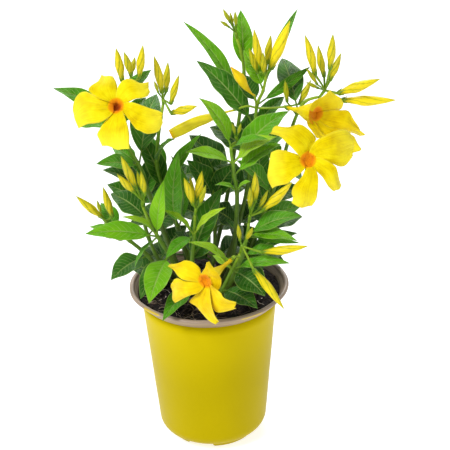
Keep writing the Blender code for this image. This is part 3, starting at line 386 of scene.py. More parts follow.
# %% [markdown]
# ## Stem finish
# Young stems are smooth and green. Lower down they are duller, with reddish-brown freckles. One mark, the age
# along the stem, picks the colour from a ramp, and a fine noise breaks it up, so that one finish does for
# stems, twigs, ribs and calyxes.
# %% Make the stem finish
stem_finish, tree, surface = new_finish("stem_green")
grain = noise(tree, 260.0, 5.0)
young = maths(tree, "ADD", mark(tree, "tone"), maths(tree, "MULTIPLY_ADD", grain, 0.4, -0.2))
skin = colours(tree, young, (0.0, (70, 70, 34)), (0.35, (78, 104, 34)), (0.7, (106, 148, 30)),
               (1.0, (164, 190, 50)))
dress(tree, surface, skin, 0.42, grain, 0.0003, Specular_IOR_Level=0.25)
print("stem finish:", len(tree.nodes), "nodes")

# %% [markdown]
# ## Petal and bud finishes
# Petals are lemon yellow with a velvety sheen and faint lines that run from the throat to the edge. Broad
# darker patches are painted shade, and the paler ends are partly the petal's own colour and partly a painted
# highlight.
# The throat glows orange, and in one flower it has a small dark eye. The lines are noise that is stretched
# along the petal's own marks, so that they follow its curve. Buds are yellow under an olive cast, and along
# the seams where the petals wrap they are painted darker and more olive, as shade in those creases. Their
# calyx is green.
# %% Make the petal finish
petal_finish, tree, surface = new_finish("petal_yellow")
along, across, tone, glow = (mark(tree, name) for name in ("along", "across", "tone", "glow"))
lines = noise(tree, 1.0, 2.0, stretched(tree, (across, 16.0), (along, 1.6), (tone, 9.0)))
# The broad cloud noise darkens the petals in patches: painted shade. The fine lines are the petals' own.
cloud = noise(tree, 70.0, 3.0)
lines_and_shade = maths(tree, "ADD", maths(tree, "MULTIPLY", lines, 0.3), maths(tree, "MULTIPLY", cloud, 0.72))
lemon = colours(tree, lines_and_shade, (0.34, (244, 230, 24)), (0.52, (228, 208, 0)), (0.72, (196, 168, 0)))
warm = colours(tree, lines_and_shade, (0.34, (246, 212, 16)), (0.52, (236, 190, 0)), (0.72, (208, 152, 0)))
yellow = blended(tree, tone, lemon, warm)
heat = maths(tree, "ADD", glow, maths(tree, "MULTIPLY_ADD", lines, 0.2, -0.1))
heat = maths(tree, "MULTIPLY", heat, ramp_to(tree, glow, 0.02, 0.3))
fire = colours(tree, heat, (0.2, (246, 200, 6)), (0.42, (244, 166, 10)), (0.66, (238, 140, 16)),
               (0.84, (204, 92, 14)), (1.0, (130, 50, 14)))
# Paler towards the end: partly the petal's own colour, partly a painted highlight.
pale_end = ramp_to(tree, along, 0.45, 1.0, 0.0, 0.45)
pale_end = maths(tree, "MULTIPLY", pale_end, maths(tree, "SUBTRACT", 1.0, tone))
yellow = blended(tree, pale_end, yellow, (252, 242, 76))
pale_edge = ramp_to(tree, maths(tree, "ABSOLUTE", across), 0.82, 1.0, 0.0, 0.2)
yellow = blended(tree, pale_edge, yellow, (252, 240, 90))
yellow = blended(tree, ramp_to(tree, heat, 0.06, 0.34), yellow, fire)
dress(tree, surface, yellow, 0.5, lines, 0.0007, Sheen_Weight=0.05, Sheen_Roughness=0.4,
      Specular_IOR_Level=0.12, Specular_Tint=(1.0, 0.9, 0.3, 1.0), Subsurface_Weight=0.12,
      Subsurface_Scale=0.002, Subsurface_Radius=(1.0, 0.8, 0.1))

# %% Make the bud finish
bud_finish, tree, surface = new_finish("bud_yellow")
along, tone, seam = mark(tree, "along"), mark(tree, "tone"), mark(tree, "glow")
cloud = noise(tree, 160.0, 4.0)
ripe = maths(tree, "ADD", tone, maths(tree, "MULTIPLY_ADD", cloud, 0.4, -0.2))
ripe = maths(tree, "SUBTRACT", ripe, ramp_to(tree, along, 0.0, 0.25, 0.45, 0.0))
ripe = maths(tree, "SUBTRACT", ripe, ramp_to(tree, along, 0.8, 1.0, 0.0, 0.25))
# Darker and more olive along the seams: painted shade in the creases where the petals wrap.
ripe = maths(tree, "SUBTRACT", ripe, maths(tree, "MULTIPLY", seam, 0.4))
skin = colours(tree, ripe, (0.0, (128, 150, 30)), (0.3, (176, 176, 24)), (0.6, (224, 206, 24)),
               (0.9, (250, 228, 30)))
dress(tree, surface, skin, 0.42, cloud, 0.0002, Specular_IOR_Level=0.2)
print("petal and bud finishes made")

# %% [markdown]
# ## Pot, liner and soil finishes
# The pot is thin thermoformed plastic, satin yellow outside, with painted light that makes it brighter
# towards the top, as light that comes through the thin wall. Its liner is taupe, drawn with fine rings, and
# at the lip the yellow shows through in a few worn streaks. The soil is peat, near black, with bark and
# roots. Rings and streaks are made from the height, the distance from the axis and the angle about it, which
# suits anything round that was drawn or spun.
# %% Make the pot finish
pot_finish, tree, surface = new_finish("pot_yellow")
broad, fine = noise(tree, 9.0, 2.0), noise(tree, 420.0, 4.0)
mixed = maths(tree, "ADD", maths(tree, "MULTIPLY", broad, 0.8), maths(tree, "MULTIPLY", fine, 0.2))
skin = colours(tree, mixed, (0.3, (176, 158, 0)), (0.7, (188, 168, 0)))
height = place_parts(tree)[2]
# Painted light: the colour eases brighter towards the top, for light coming through the thin wall.
skin = blended(tree, ramp_to(tree, height, 0.07, 0.165, 0.0, 0.75), skin, (208, 187, 2))
rough = maths(tree, "MULTIPLY_ADD", fine, 0.14, 0.33)
dress(tree, surface, skin, rough, fine, 0.00012, Specular_IOR_Level=0.07,
      Specular_Tint=(1.0, 0.86, 0.2, 1.0))

# %% Make the liner finish
LIP_TOP = 0.170
STREAK_FADE = 0.0008
liner_finish, tree, surface = new_finish("liner_taupe")
x, y, z = place_parts(tree)
turned_by = maths(tree, "ARCTAN2", y, x)
reach = maths(tree, "SQRT", maths(tree, "MULTIPLY_ADD", x, x, maths(tree, "MULTIPLY", y, y)))
rings = noise(tree, 1.0, 3.0, stretched(tree, (turned_by, 1.4), (reach, 700.0), (z, 700.0)))
taupe = colours(tree, rings, (0.25, (122, 100, 84)), (0.5, (154, 133, 114)), (0.78, (182, 162, 142)))


def worn_streak(middle, width, low, high):
    """Where the outer layer shows: a stretch of the lip, by its angle in radians and its height."""
    off = maths(tree, "ABSOLUTE", maths(tree, "SUBTRACT", turned_by, middle))
    above = ramp_to(tree, z, low, low + STREAK_FADE)
    below = ramp_to(tree, z, high, high + STREAK_FADE, 1.0, 0.0)
    stretch = ramp_to(tree, off, width * 0.7, width, 1.0, 0.0)
    ragged = ramp_to(tree, rings, 0.30, 0.48)
    patch = maths(tree, "MULTIPLY", stretch, maths(tree, "MULTIPLY", above, below))
    return maths(tree, "MULTIPLY", patch, ragged)


streaks = maths(tree, "MAXIMUM", worn_streak(-1.02, 0.17, LIP_TOP - 0.0052, LIP_TOP - 0.0026),
                worn_streak(-2.36, 0.16, LIP_TOP - 0.0034, LIP_TOP - 0.0010))
taupe = blended(tree, streaks, taupe, (208, 180, 40))
dress(tree, surface, taupe, 0.46, rings, 0.00025, Specular_IOR_Level=0.5)

# %% Make the soil finishes
soil_finish, tree, surface = new_finish("soil_dark")
crumbs = noise(tree, 420.0, 6.0)
earth = colours(tree, crumbs, (0.35, (12, 8, 9)), (0.55, (30, 22, 22)), (0.75, (74, 62, 54)))
dress(tree, surface, earth, 0.85, crumbs, 0.0012, Specular_IOR_Level=0.2)
bark_finish, tree, surface = new_finish("bark_brown")
grain = noise(tree, 300.0, 5.0)
shade = maths(tree, "MULTIPLY_ADD", mark(tree, "tone"), 0.7, maths(tree, "MULTIPLY", grain, 0.4))
bark = colours(tree, shade, (0.15, (26, 18, 16)), (0.5, (70, 54, 44)), (0.8, (150, 130, 112)),
               (1.0, (232, 224, 214)))
dress(tree, surface, bark, 0.8, grain, 0.0006, Specular_IOR_Level=0.3)
print("pot, liner, soil and bark finishes made")

# %% [markdown]
# ## The pot
# A cup with a straight taper, a round corner and a foot ring that is broken by four notches. It is one
# profile spun about the axis, which gives a smooth wall without joining parts, and the foot's height changes
# with the angle, which is simpler than cutting the notches out.
# %% Sizes of the pot
RIM_RADIUS = 0.081
POT_HEIGHT = LIP_TOP
WALL_TOP_RADIUS = 0.070
WALL_FOOT_RADIUS = 0.0545
CORNER_RADIUS = 0.015
FOOT_HEIGHT = 0.004
COLLAR_FOOT = 0.156
LIP_WIDTH = 0.0048
LAYER = 0.0011
CLEARANCE = 0.0003
LEDGE_INSET = 0.0042
LEDGE_RISE = 0.0042
UNDER_LEDGE = COLLAR_FOOT + LEDGE_RISE * 0.4
FOOT_COUNT = 4
FOOT_NOTCH_WIDTH = 0.026
NOTCH_EASE = 0.002
FIRST_NOTCH_DEG = 252.0
FOOT_RING_OUTER = 0.0435
FOOT_RING_INNER = 0.037
PAD_RADIUS = 0.010
SPIN_STEPS = 200
OUTLINE_STEPS = 12
POT_WAVE = 0.00012
LIP_WAVE = 0.0003


def wall_radius(height):
    share = (height - FOOT_HEIGHT) / (POT_HEIGHT - FOOT_HEIGHT)
    return WALL_FOOT_RADIUS + (WALL_TOP_RADIUS - WALL_FOOT_RADIUS) * share


def cup_outline(inward, floor, top):
    corner = CORNER_RADIUS - inward
    middle = wall_radius(floor + corner) - inward - corner
    outline = []
    for step in range(OUTLINE_STEPS + 1):
        turn = math.pi / 2 * step / OUTLINE_STEPS
        outline.append((middle + corner * math.sin(turn), floor + corner * (1 - math.cos(turn))))
    start = outline[-1][1]
    for step in range(1, OUTLINE_STEPS + 1):
        height = start + (top - start) * step / OUTLINE_STEPS
        outline.append((wall_radius(height) - inward, height))
    return outline


def spin(profile, ripple):
    """Points and faces of a closed profile spun about the axis; ripple moves each point a little."""
    rows = []
    for step in range(SPIN_STEPS):
        angle = math.tau * step / SPIN_STEPS
        row = []
        for radius, height in profile:
            radius, height = ripple(angle, radius, height)
            row.append((radius * math.cos(angle), radius * math.sin(angle), height))
        rows.append(row)
    count = len(profile)
    faces = []
    for step in range(SPIN_STEPS):
        here, after = step * count, (step + 1) % SPIN_STEPS * count
        for index in range(count - 1):
            faces.append((here + index, after + index, after + index + 1, here + index + 1))
    points = [point for row in rows for point in row]
    for end in (0, count - 1):
        points.append((0.0, 0.0, profile[end][1]))
        for step in range(SPIN_STEPS):
            pair = (step * count + end, (step + 1) % SPIN_STEPS * count + end)
            faces.append((len(points) - 1, *(reversed(pair) if end == 0 else pair)))
    return points, faces


# %% Spin the pot
def in_notch(angle):
    """From 0 on the foot ring to 1 in a notch."""
    step = 360.0 / FOOT_COUNT
    off = (math.degrees(angle) - FIRST_NOTCH_DEG) % step
    off = math.radians(min(off, step - off)) * FOOT_RING_OUTER
    return min(1.0, max(0.0, (FOOT_NOTCH_WIDTH / 2 + NOTCH_EASE / 2 - off) / NOTCH_EASE))


def pot_ripple(angle, radius, height):
    if FOOT_RING_INNER - 0.001 < radius < FOOT_RING_OUTER + 0.0015 and height < FOOT_HEIGHT * 0.9:
        height += (FOOT_HEIGHT - 0.0002 - height) * in_notch(angle)
    elif height > FOOT_HEIGHT + LAYER:
        radius += POT_WAVE * math.sin(angle * 3 + height * 40) * math.sin(height * 60)
    return radius, height


pot_top = COLLAR_FOOT - CLEARANCE
profile = [(PAD_RADIUS, 0.0), (PAD_RADIUS + 0.0015, FOOT_HEIGHT), (FOOT_RING_INNER - 0.0015, FOOT_HEIGHT),
           (FOOT_RING_INNER, 0.0003), (FOOT_RING_INNER + 0.0006, 0.0), (FOOT_RING_OUTER - 0.0006, 0.0),
           (FOOT_RING_OUTER, 0.0004), (FOOT_RING_OUTER + 0.001, FOOT_HEIGHT * 0.86)]
profile += [place for place in cup_outline(0.0, FOOT_HEIGHT, pot_top) if place[0] > FOOT_RING_OUTER + 0.001]
profile += reversed(cup_outline(LAYER, FOOT_HEIGHT + LAYER, pot_top))
pot = Piece()
pot.add(*spin(profile, pot_ripple))
pot.build("nursery_pot", [pot_finish], "pot_yellow", "pot")
print("pot:", len(pot.faces), "faces")

# %% [markdown]
# ## The liner
# The taupe layer lines the pot and shows as a flared collar with a rolled lip. It is spun like the pot, so
# that the two fit. Worn plastic is never quite round, so the lip waves by a few tenths of a millimetre.
# %% Spin the liner
def liner_ripple(angle, radius, height):
    if height > COLLAR_FOOT + 0.002:
        lift = (height - COLLAR_FOOT) / (POT_HEIGHT - COLLAR_FOOT)
        wave = 0.5 * math.sin(angle * 3 + 0.5) + 0.35 * math.sin(angle * 7 + 2.0) + 0.2 * math.sin(angle * 13)
        radius += LIP_WAVE * lift * wave
        height -= LIP_WAVE * lift * (1.0 + wave * 0.9)
    return radius, height


lift = LAYER + CLEARANCE
seam = wall_radius(COLLAR_FOOT) + 0.0006
flare = POT_HEIGHT - COLLAR_FOOT
bead = LIP_WIDTH / 2
ledge = RIM_RADIUS - LIP_WIDTH - LEDGE_INSET
collar = [Vector((seam, COLLAR_FOOT)),
          Vector((seam + 0.62 * (RIM_RADIUS - seam), COLLAR_FOOT + 0.50 * flare)),
          Vector((RIM_RADIUS, POT_HEIGHT - bead))]
profile = cup_outline(lift, FOOT_HEIGHT + lift, COLLAR_FOOT)
profile += [(place.x, place.y) for place in along_curve(collar, 6)]
for step in range(1, OUTLINE_STEPS + 1):
    turn = math.pi * step / OUTLINE_STEPS
    profile.append((RIM_RADIUS - bead + bead * math.cos(turn), POT_HEIGHT - bead + bead * math.sin(turn)))
inner = [Vector((RIM_RADIUS - LIP_WIDTH, POT_HEIGHT - bead)),
         Vector((ledge + 0.0012, COLLAR_FOOT + LEDGE_RISE * 1.7)),
         Vector((ledge, COLLAR_FOOT + LEDGE_RISE))]
profile += [(place.x, place.y) for place in along_curve(inner, 5)[1:]]
profile += reversed(cup_outline(lift + LAYER, FOOT_HEIGHT + lift + LAYER, UNDER_LEDGE))
liner = Piece()
liner.add(*spin(profile, liner_ripple))
liner.build("taupe_liner", [liner_finish], "liner_taupe", "pot_liner")
print("liner:", len(liner.faces), "faces")

# %% [markdown]
# ## The soil
# Peat is crumbly, with shreds of bark, a few pale grains and fine roots that loop over it. The surface is a
# fine disc with low hills, because bump alone would leave its outline flat. The shreds and roots are laid on
# it by a seeded rule, so that they fall the same way each time.
# %% Soil surface
SOIL_TOP = 0.1615
SOIL_HILLS = 0.0022
SOIL_EDGE = 0.070
SOIL_EDGE_FADE = 0.012
CRUMB_HEIGHT = 0.00042


def soil_height(across, back):
    hills = math.sin(across * 210.0 + 0.6) * math.cos(back * 170.0 - 0.4)
    hills += 0.5 * math.sin(across * 430.0 - back * 380.0 + 1.1)
    fade = min(1.0, max(0.0, (SOIL_EDGE - math.hypot(across, back)) / SOIL_EDGE_FADE))
    return SOIL_TOP + SOIL_HILLS * hills * fade


chance = random.Random(7)
crumb = [(chance.uniform(300, 1500), chance.uniform(300, 1500), chance.uniform(0, 6.3)) for _ in range(9)]


def soil_ripple(angle, radius, height):
    if height > SOIL_TOP - 0.0001 and radius < ledge:
        x, y = radius * math.cos(angle), radius * math.sin(angle)
        rough = sum(math.sin(x * a + y * b + c) * math.sin(x * b * 0.7 - y * a * 0.6 + c)
                    for a, b, c in crumb)
        height = soil_height(x, y) + CRUMB_HEIGHT * rough
    return radius, height


soil_inward = 2 * LAYER + 2 * CLEARANCE
profile = cup_outline(soil_inward, FOOT_HEIGHT + soil_inward, UNDER_LEDGE)
rim = ledge - CLEARANCE
profile += [(rim, COLLAR_FOOT + LEDGE_RISE + CLEARANCE), (rim, SOIL_TOP - 0.0002)]
profile += [(rim * share, SOIL_TOP) for share in np.linspace(0.998, 0.01, 60)]
soil = Piece()
soil.add(*spin(profile, soil_ripple), 0)
print("soil:", len(soil.faces), "faces")

# %% Bark, grains and roots
BARK_COUNT = 420
BARK_REACH = 0.071
BARK_LIMIT = 0.0712
ROOT_COUNT = 150
ROOT_REACH = 0.068
ROOT_LIMIT = 0.0700
ROOT_STEP = 0.0028
SHRED_SIDES = 5
for number in range(BARK_COUNT):
    reach, angle = BARK_REACH * math.sqrt(chance.random()), chance.uniform(0, math.tau)
    size = chance.uniform(0.0009, 0.0034)
    middle = Vector((reach * math.cos(angle), reach * math.sin(angle), 0.0))
    if middle.length + size > BARK_LIMIT:
        continue
    middle.z = soil_height(middle.x, middle.y) + size * 0.15
    lie = (Matrix.Rotation(chance.uniform(0, math.tau), 3, "Z")
           @ Matrix.Rotation(chance.gauss(0, 0.35), 3, "X"))
    ahead = lie @ Vector((size, 0.0, 0.0))
    flat = size * chance.uniform(0.25, 0.6)
    points, faces = rod([middle - ahead, middle - ahead * 0.4, middle + ahead * 0.4, middle + ahead],
                        [flat * 0.3, flat, flat * 0.9, flat * 0.35], SHRED_SIDES)
    shade = chance.random()
    soil.add(points, faces, 1, tone=1.0 if shade > 0.965 else 0.05 + 0.5 * shade ** 2)
for number in range(ROOT_COUNT):
    reach, angle = ROOT_REACH * math.sqrt(chance.random()), chance.uniform(0, math.tau)
    x, y, heading = reach * math.cos(angle), reach * math.sin(angle), chance.uniform(0, math.tau)
    thick, steps = chance.uniform(0.00024, 0.00060), chance.randint(5, 12)
    bend, hop = chance.uniform(-0.5, 0.5), chance.uniform(0.0002, 0.0026)
    path = []
    for step in range(steps):
        if math.hypot(x, y) > ROOT_LIMIT:
            break
        rise = hop * math.sin(math.pi * step / (steps - 1))
        path.append(Vector((x, y, soil_height(x, y) + 0.0004 + rise)))
        heading += bend * 0.5 + chance.gauss(0, 0.25)
        x, y = x + ROOT_STEP * math.cos(heading), y + ROOT_STEP * math.sin(heading)
    if len(path) < 3:
        continue
    path = along_curve(path, 3)
    radii = [thick * (1.0 - 0.6 * index / len(path)) for index in range(len(path))]
    soil.add(*rod(path, radii, SHRED_SIDES), 1, tone=chance.uniform(0.4, 1.0))
soil.build("peat_soil", [soil_finish, bark_finish], "soil_dark", "soil")
print("soil with bark and roots:", len(soil.faces), "faces")

# %% [markdown]
# ## How the plant grows
# Each shoot has a foot in the soil, spots up its stem, leaves that leave it at a node, and sometimes twigs.
# The tables below give them all, because a plant that has to match one real plant can't be grown by a rule.
# A leaf's last figure is its tone, from old and dark at 0 to young lime at 1.
# %% Table of shoots
Leaf = namedtuple("Leaf", "node tip width roll tone", defaults=(0, 0.45))
Shoot = namedtuple("Shoot", "foot stem leaves twigs", defaults=((), ()))
SHOOTS = {
    "left_top": Shoot(
        (-24, 2),
        [(176, 262, 10), (163, 230, 16), (150, 196, 22), (139, 166, 26), (129, 148, 26), (123, 126, 26),
         (121, 106, 24), (128, 91, 22)],
        [Leaf(5, (54, 87, 14), 19, 0, 0.5), Leaf(6, (149, 67, 6), 14, 0, 0.45),
         Leaf(5, (146, 97, 8), 14, 0, 0.4), Leaf(5, (80, 126, 16), 15, 0, 0.45),
         Leaf(3, (97, 163, 48), 16, -12, 0.42), Leaf(2, (104, 169, 38), 26, 0, 0.3),
         Leaf(3, (165, 94, -40), 28, 0, 0.32), Leaf(3, (112, 146, 8), 16, 0, 0.5)],
        [(5, [(123, 121, 33)])],
    ),
    "left_fork": Shoot(
        (-12, 12),
        [(190, 262, 0), (178, 228, 6), (166, 196, 10), (157, 166, 14), (158, 140, 12), (161, 118, 10),
         (163, 105, 10)],
        [Leaf(3, (173, 138, 40), 13, 0, 0.6), Leaf(2, (199, 134, 20), 15, 0, 0.55),
         Leaf(1, (177, 154, 40), 22, 0, 0.58), Leaf(1, (160, 160, 34), 16, 0, 0.45),
         Leaf(2, (138, 132, -4), 20, 0, 0.35), Leaf(2, (186, 166, -6), 22, 0, 0.25),
         Leaf(0, (176, 232, 20), 24, 0, 0.3)],
    ),
    "left_mid": Shoot(
        (-26, -14),
        [(180, 278, 24), (169, 255, 34), (158, 237, 42), (149, 221, 44), (143, 207, 44)],
        [Leaf(2, (86, 233, 60), 19, -20, 0.66), Leaf(2, (163, 181, 54), 15, 0, 0.7),
         Leaf(3, (111, 193, 30), 27, 0, 0.28), Leaf(2, (133, 209, 68), 10, 0, 0.9),
         Leaf(2, (134, 266, 60), 7, 30, 0.5), Leaf(1, (140, 298, 66), 20, 0, 0.34),
         Leaf(1, (149, 302, 84), 25, 0, 0.66)],
    ),
    "left_low": Shoot(
        (-36, 4),
        [(165, 276, 0), (148, 256, 6), (130, 241, 12), (117, 233, 16), (107, 227, 18)],
        [Leaf(1, (111, 279, 34), 24, 0, 0.34), Leaf(2, (90, 226, 10), 14, 0, 0.6),
         Leaf(3, (98, 204, -2), 18, 0, 0.5), Leaf(0, (132, 262, -14), 24, 0, 0.25)],
    ),
    "centre": Shoot(
        (-14, -22),
        [(193, 286, 28), (192, 262, 34), (194, 236, 38), (195, 215, 40)],
        [Leaf(2, (163, 213, 58), 9, 0, 0.92), Leaf(2, (224, 207, 54), 10, 0, 0.92),
         Leaf(2, (166, 257, 66), 13, 0, 0.5), Leaf(1, (221, 188, 8), 24, 0, 0.42),
         Leaf(0, (163, 319, 86), 18, 0, 0.5), Leaf(1, (210, 234, 20), 22, 0, 0.3)],
    ),
    "centre_right": Shoot(
        (12, -6),
        [(232, 262, 14), (236, 226, 24), (237, 191, 32), (234, 176, 34), (233, 164, 34), (231, 148, 34),
         (236, 142, 32)],
        [Leaf(2, (216, 184, 50), 7, 0, 0.7), Leaf(2, (250, 181, 44), 7, 0, 0.7),
         Leaf(3, (280, 143, 32), 17, 0, 0.62), Leaf(4, (275, 136, 46), 17, 0, 0.84),
         Leaf(4, (187, 151, 50), 15, 0, 0.82), Leaf(5, (201, 98, 44), 19, 0, 0.76),
         Leaf(5, (267, 138, 56), 11, 0, 0.6), Leaf(4, (288, 110, 0), 24, 0, 0.6)],
    ),
    "tall_middle": Shoot(
        (10, 10),
        [(226, 262, -4), (238, 226, -8), (247, 190, -12), (252, 158, -14), (255, 128, -16), (257, 105, -18),
         (263, 91, -18), (266, 77, -16)],
        [Leaf(4, (198, 60, -34), 26, 0, 0.34), Leaf(5, (308, 63, -30), 10, 40, 0.4),
         Leaf(6, (244, 50, -30), 19, 0, 0.72), Leaf(7, (297, 8, -62), 10, 0, 0.5),
         Leaf(3, (210, 126, -34), 26, 0, 0.3), Leaf(1, (274, 204, -30), 24, 0, 0.2),
         Leaf(1, (206, 206, -10), 26, 0, 0.2), Leaf(2, (214, 166, -24), 24, 0, 0.25),
         Leaf(3, (290, 128, -30), 18, 0, 0.3), Leaf(5, (230, 82, -36), 20, 0, 0.3),
         Leaf(4, (284, 96, -34), 16, 0, 0.35)],
        [(5, [(247, 106, -14), (238, 109, -12)]), (5, [(270, 108, -12), (283, 107, -8)]),
         (5, [(255, 97, -8)])],
    ),
    "tall_back": Shoot(
        (-2, 22),
        [(212, 262, -20), (222, 222, -28), (230, 180, -34), (236, 140, -38), (241, 104, -40), (244, 74, -40),
         (241, 52, -40), (237, 39, -40)],
        [Leaf(4, (185, 21, -54), 14, 0, 0.6), Leaf(5, (241, 10, -56), 19, 0, 0.64),
         Leaf(4, (229, 72, -62), 16, 0, 0.35), Leaf(0, (178, 240, -34), 26, 0, 0.2),
         Leaf(1, (262, 214, -44), 24, 0, 0.2), Leaf(2, (186, 138, -50), 28, 0, 0.25),
         Leaf(3, (266, 112, -52), 18, 0, 0.3), Leaf(3, (216, 122, -50), 18, 0, 0.3)],
    ),
    "right": Shoot(
        (24, -2),
        [(244, 262, 2), (258, 228, 2), (271, 196, 0), (282, 164, -2), (290, 134, -4), (298, 112, -6),
         (306, 101, -6), (318, 97, -6)],
        [Leaf(5, (282, 57, -62), 24, 0, 0.32), Leaf(0, (296, 232, 14), 22, 0, 0.35),
         Leaf(0, (224, 230, 26), 24, 0, 0.3), Leaf(1, (302, 204, 8), 24, 0, 0.42),
         Leaf(2, (238, 160, 8), 20, 0, 0.4), Leaf(3, (304, 186, -14), 20, 0, 0.35),
         Leaf(3, (262, 142, -8), 18, 0, 0.4), Leaf(0, (284, 256, -4), 24, 0, 0.3)],
        [(4, [(297, 141, 8), (303, 149, 18)]), (5, [(292, 109, -14)])],
    ),
    "right_low": Shoot(
        (16, -20),
        [(232, 280, 26), (242, 256, 32), (247, 236, 36), (249, 223, 36)],
        [Leaf(3, (300, 215, 48), 21, 0, 0.5), Leaf(2, (294, 235, 66), 15, 0, 0.64),
         Leaf(2, (300, 243, 40), 6, 40, 0.5), Leaf(1, (280, 249, 36), 12, 0, 0.5),
         Leaf(0, (264, 266, 14), 24, 0, 0.3)],
    ),
    "front": Shoot(
        (4, -34),
        [(222, 290, 44), (232, 270, 50), (240, 254, 54)],
        [Leaf(2, (191, 241, 78), 12, 0, 0.88), Leaf(2, (213, 255, 40), 10, 0, 0.82),
         Leaf(2, (289, 262, 66), 13, 0, 0.55), Leaf(1, (265, 292, 80), 30, 0, 0.28),
         Leaf(0, (257, 307, 84), 24, 0, 0.3)],
        [(2, [(235, 257, 60)])],
    ),
    "back_left": Shoot(
        (-24, 28),
        [(186, 255, -34), (174, 218, -50), (164, 184, -60), (158, 160, -66)],
        [Leaf(0, (132, 262, -36), 26, 0, 0.2), Leaf(1, (130, 222, -50), 28, 0, 0.2),
         Leaf(1, (214, 206, -50), 28, 0, 0.2), Leaf(2, (200, 172, -64), 26, 0, 0.3),
         Leaf(3, (138, 128, -60), 22, 0, 0.4)],
    ),
    "back_right": Shoot(
        (18, 28),
        [(234, 255, -36), (248, 218, -54), (260, 184, -66), (268, 158, -74)],
        [Leaf(0, (286, 262, -38), 26, 0, 0.2), Leaf(1, (206, 230, -58), 26, 0, 0.2),
         Leaf(2, (292, 184, -64), 24, 0, 0.3), Leaf(2, (216, 190, -70), 26, 0, 0.3),
         Leaf(3, (258, 118, -74), 20, 0, 0.4)],
    ),
    "inner": Shoot(
        (-4, 3),
        [(214, 258, -4), (215, 228, -8), (214, 200, -12), (210, 176, -16)],
        [Leaf(0, (172, 236, -20), 28, 0, 0.2), Leaf(0, (256, 226, -26), 26, 0, 0.2),
         Leaf(1, (178, 206, -8), 28, 0, 0.25), Leaf(1, (252, 190, -44), 26, 0, 0.25),
         Leaf(2, (188, 160, -14), 24, 0, 0.3), Leaf(2, (238, 158, -22), 22, 0, 0.3),
         Leaf(3, (200, 140, -26), 16, 0, 0.3), Leaf(3, (226, 150, -30), 20, 0, 0.3)],
    ),
    "inner_left": Shoot(
        (-34, 16),
        [(160, 262, -10), (148, 236, -14), (141, 208, -16), (136, 184, -16)],
        [Leaf(0, (188, 226, -26), 26, 0, 0.22), Leaf(1, (178, 208, -30), 28, 0, 0.25),
         Leaf(1, (104, 236, -16), 24, 0, 0.25), Leaf(2, (108, 184, -14), 26, 0, 0.3),
         Leaf(2, (170, 176, -20), 26, 0, 0.3), Leaf(3, (128, 148, -14), 20, 0, 0.3),
         Leaf(3, (158, 146, -24), 20, 0, 0.3)],
    ),
    "inner_right": Shoot(
        (34, 12),
        [(258, 254, -10), (266, 228, -14), (268, 204, -18), (268, 184, -22)],
        [Leaf(0, (230, 226, -28), 26, 0, 0.22), Leaf(1, (302, 216, -16), 26, 0, 0.25),
         Leaf(1, (256, 186, -34), 26, 0, 0.25), Leaf(2, (300, 186, -24), 24, 0, 0.3),
         Leaf(2, (244, 168, -24), 24, 0, 0.3), Leaf(3, (280, 150, -28), 22, 0, 0.3)],
    ),
}
print(len(SHOOTS), "shoots with", sum(len(shoot.leaves) for shoot in SHOOTS.values()), "leaves")

# %% [markdown]
# ## Stems
# A stem is a slender rod through its spots, a little thicker where leaves leave it. A smooth curve through
# the spots keeps it inside the frame's own stem, which a bevelled curve with handles of its own might leave.
# %% Paths of stems and twigs
STEM_FOOT_RADIUS = 0.0026
STEM_TIP_RADIUS = 0.0014
STEM_COLLAR = 0.006
HOLE_DEPTH = 0.030
STRAIGHT_WITHIN = 0.0004
TWIG_RADIUS = 0.0011
TWIG_SETBACK = 0.003
CURVE_STEPS = 6
STEM_SIDES = 10
TWIG_SIDES = 9
NODE_SWELLING = 1.22


def smooth_path(points):
    """The frame's own path: the points, with one between two where the curve bends, and each one's index."""
    path, kept = [points[0]], [0]
    for index in range(len(points) - 1):
        first, start = points[max(index - 1, 0)], points[index]
        stop, last = points[index + 1], points[min(index + 2, len(points) - 1)]
        ahead = (stop - start).normalized()
        bow = ((start + stop) - (first + last)) * 0.0625
        bow -= ahead * bow.dot(ahead)
        if bow.length > STRAIGHT_WITHIN:
            path.append((start + stop) / 2 + bow)
        path.append(stop)
        kept.append(len(path) - 1)
    return path, kept


def stem_foot(shoot):
    across, back = shoot.foot[0] * MM, shoot.foot[1] * MM
    return (Vector((across, back, SOIL_TOP - HOLE_DEPTH + CLEARANCE)),
            Vector((across, back, SOIL_TOP + STEM_COLLAR)))


def stem_path(shoot):
    bottom, collar = stem_foot(shoot)
    above, kept = smooth_path([collar] + [spot(*place) for place in shoot.stem])
    return [bottom] + above, [index + 1 for index in kept[1:]]


def twig_paths(shoot):
    path, nodes = stem_path(shoot)
    ways = []
    for node, places in shoot.twigs:
        below = path[nodes[node] - 1] - path[nodes[node]]
        root = path[nodes[node]] + below.normalized() * TWIG_SETBACK
        ways.append([root] + [spot(*place) for place in places])
    return ways


def stem_ends(shoot):
    path, nodes = stem_path(shoot)
    ends = [(path[-1], (path[-1] - path[-2]).normalized(), STEM_TIP_RADIUS)]
    for way in twig_paths(shoot):
        ends.append((way[-1], (way[-1] - way[-2]).normalized(), TWIG_RADIUS))
    return ends


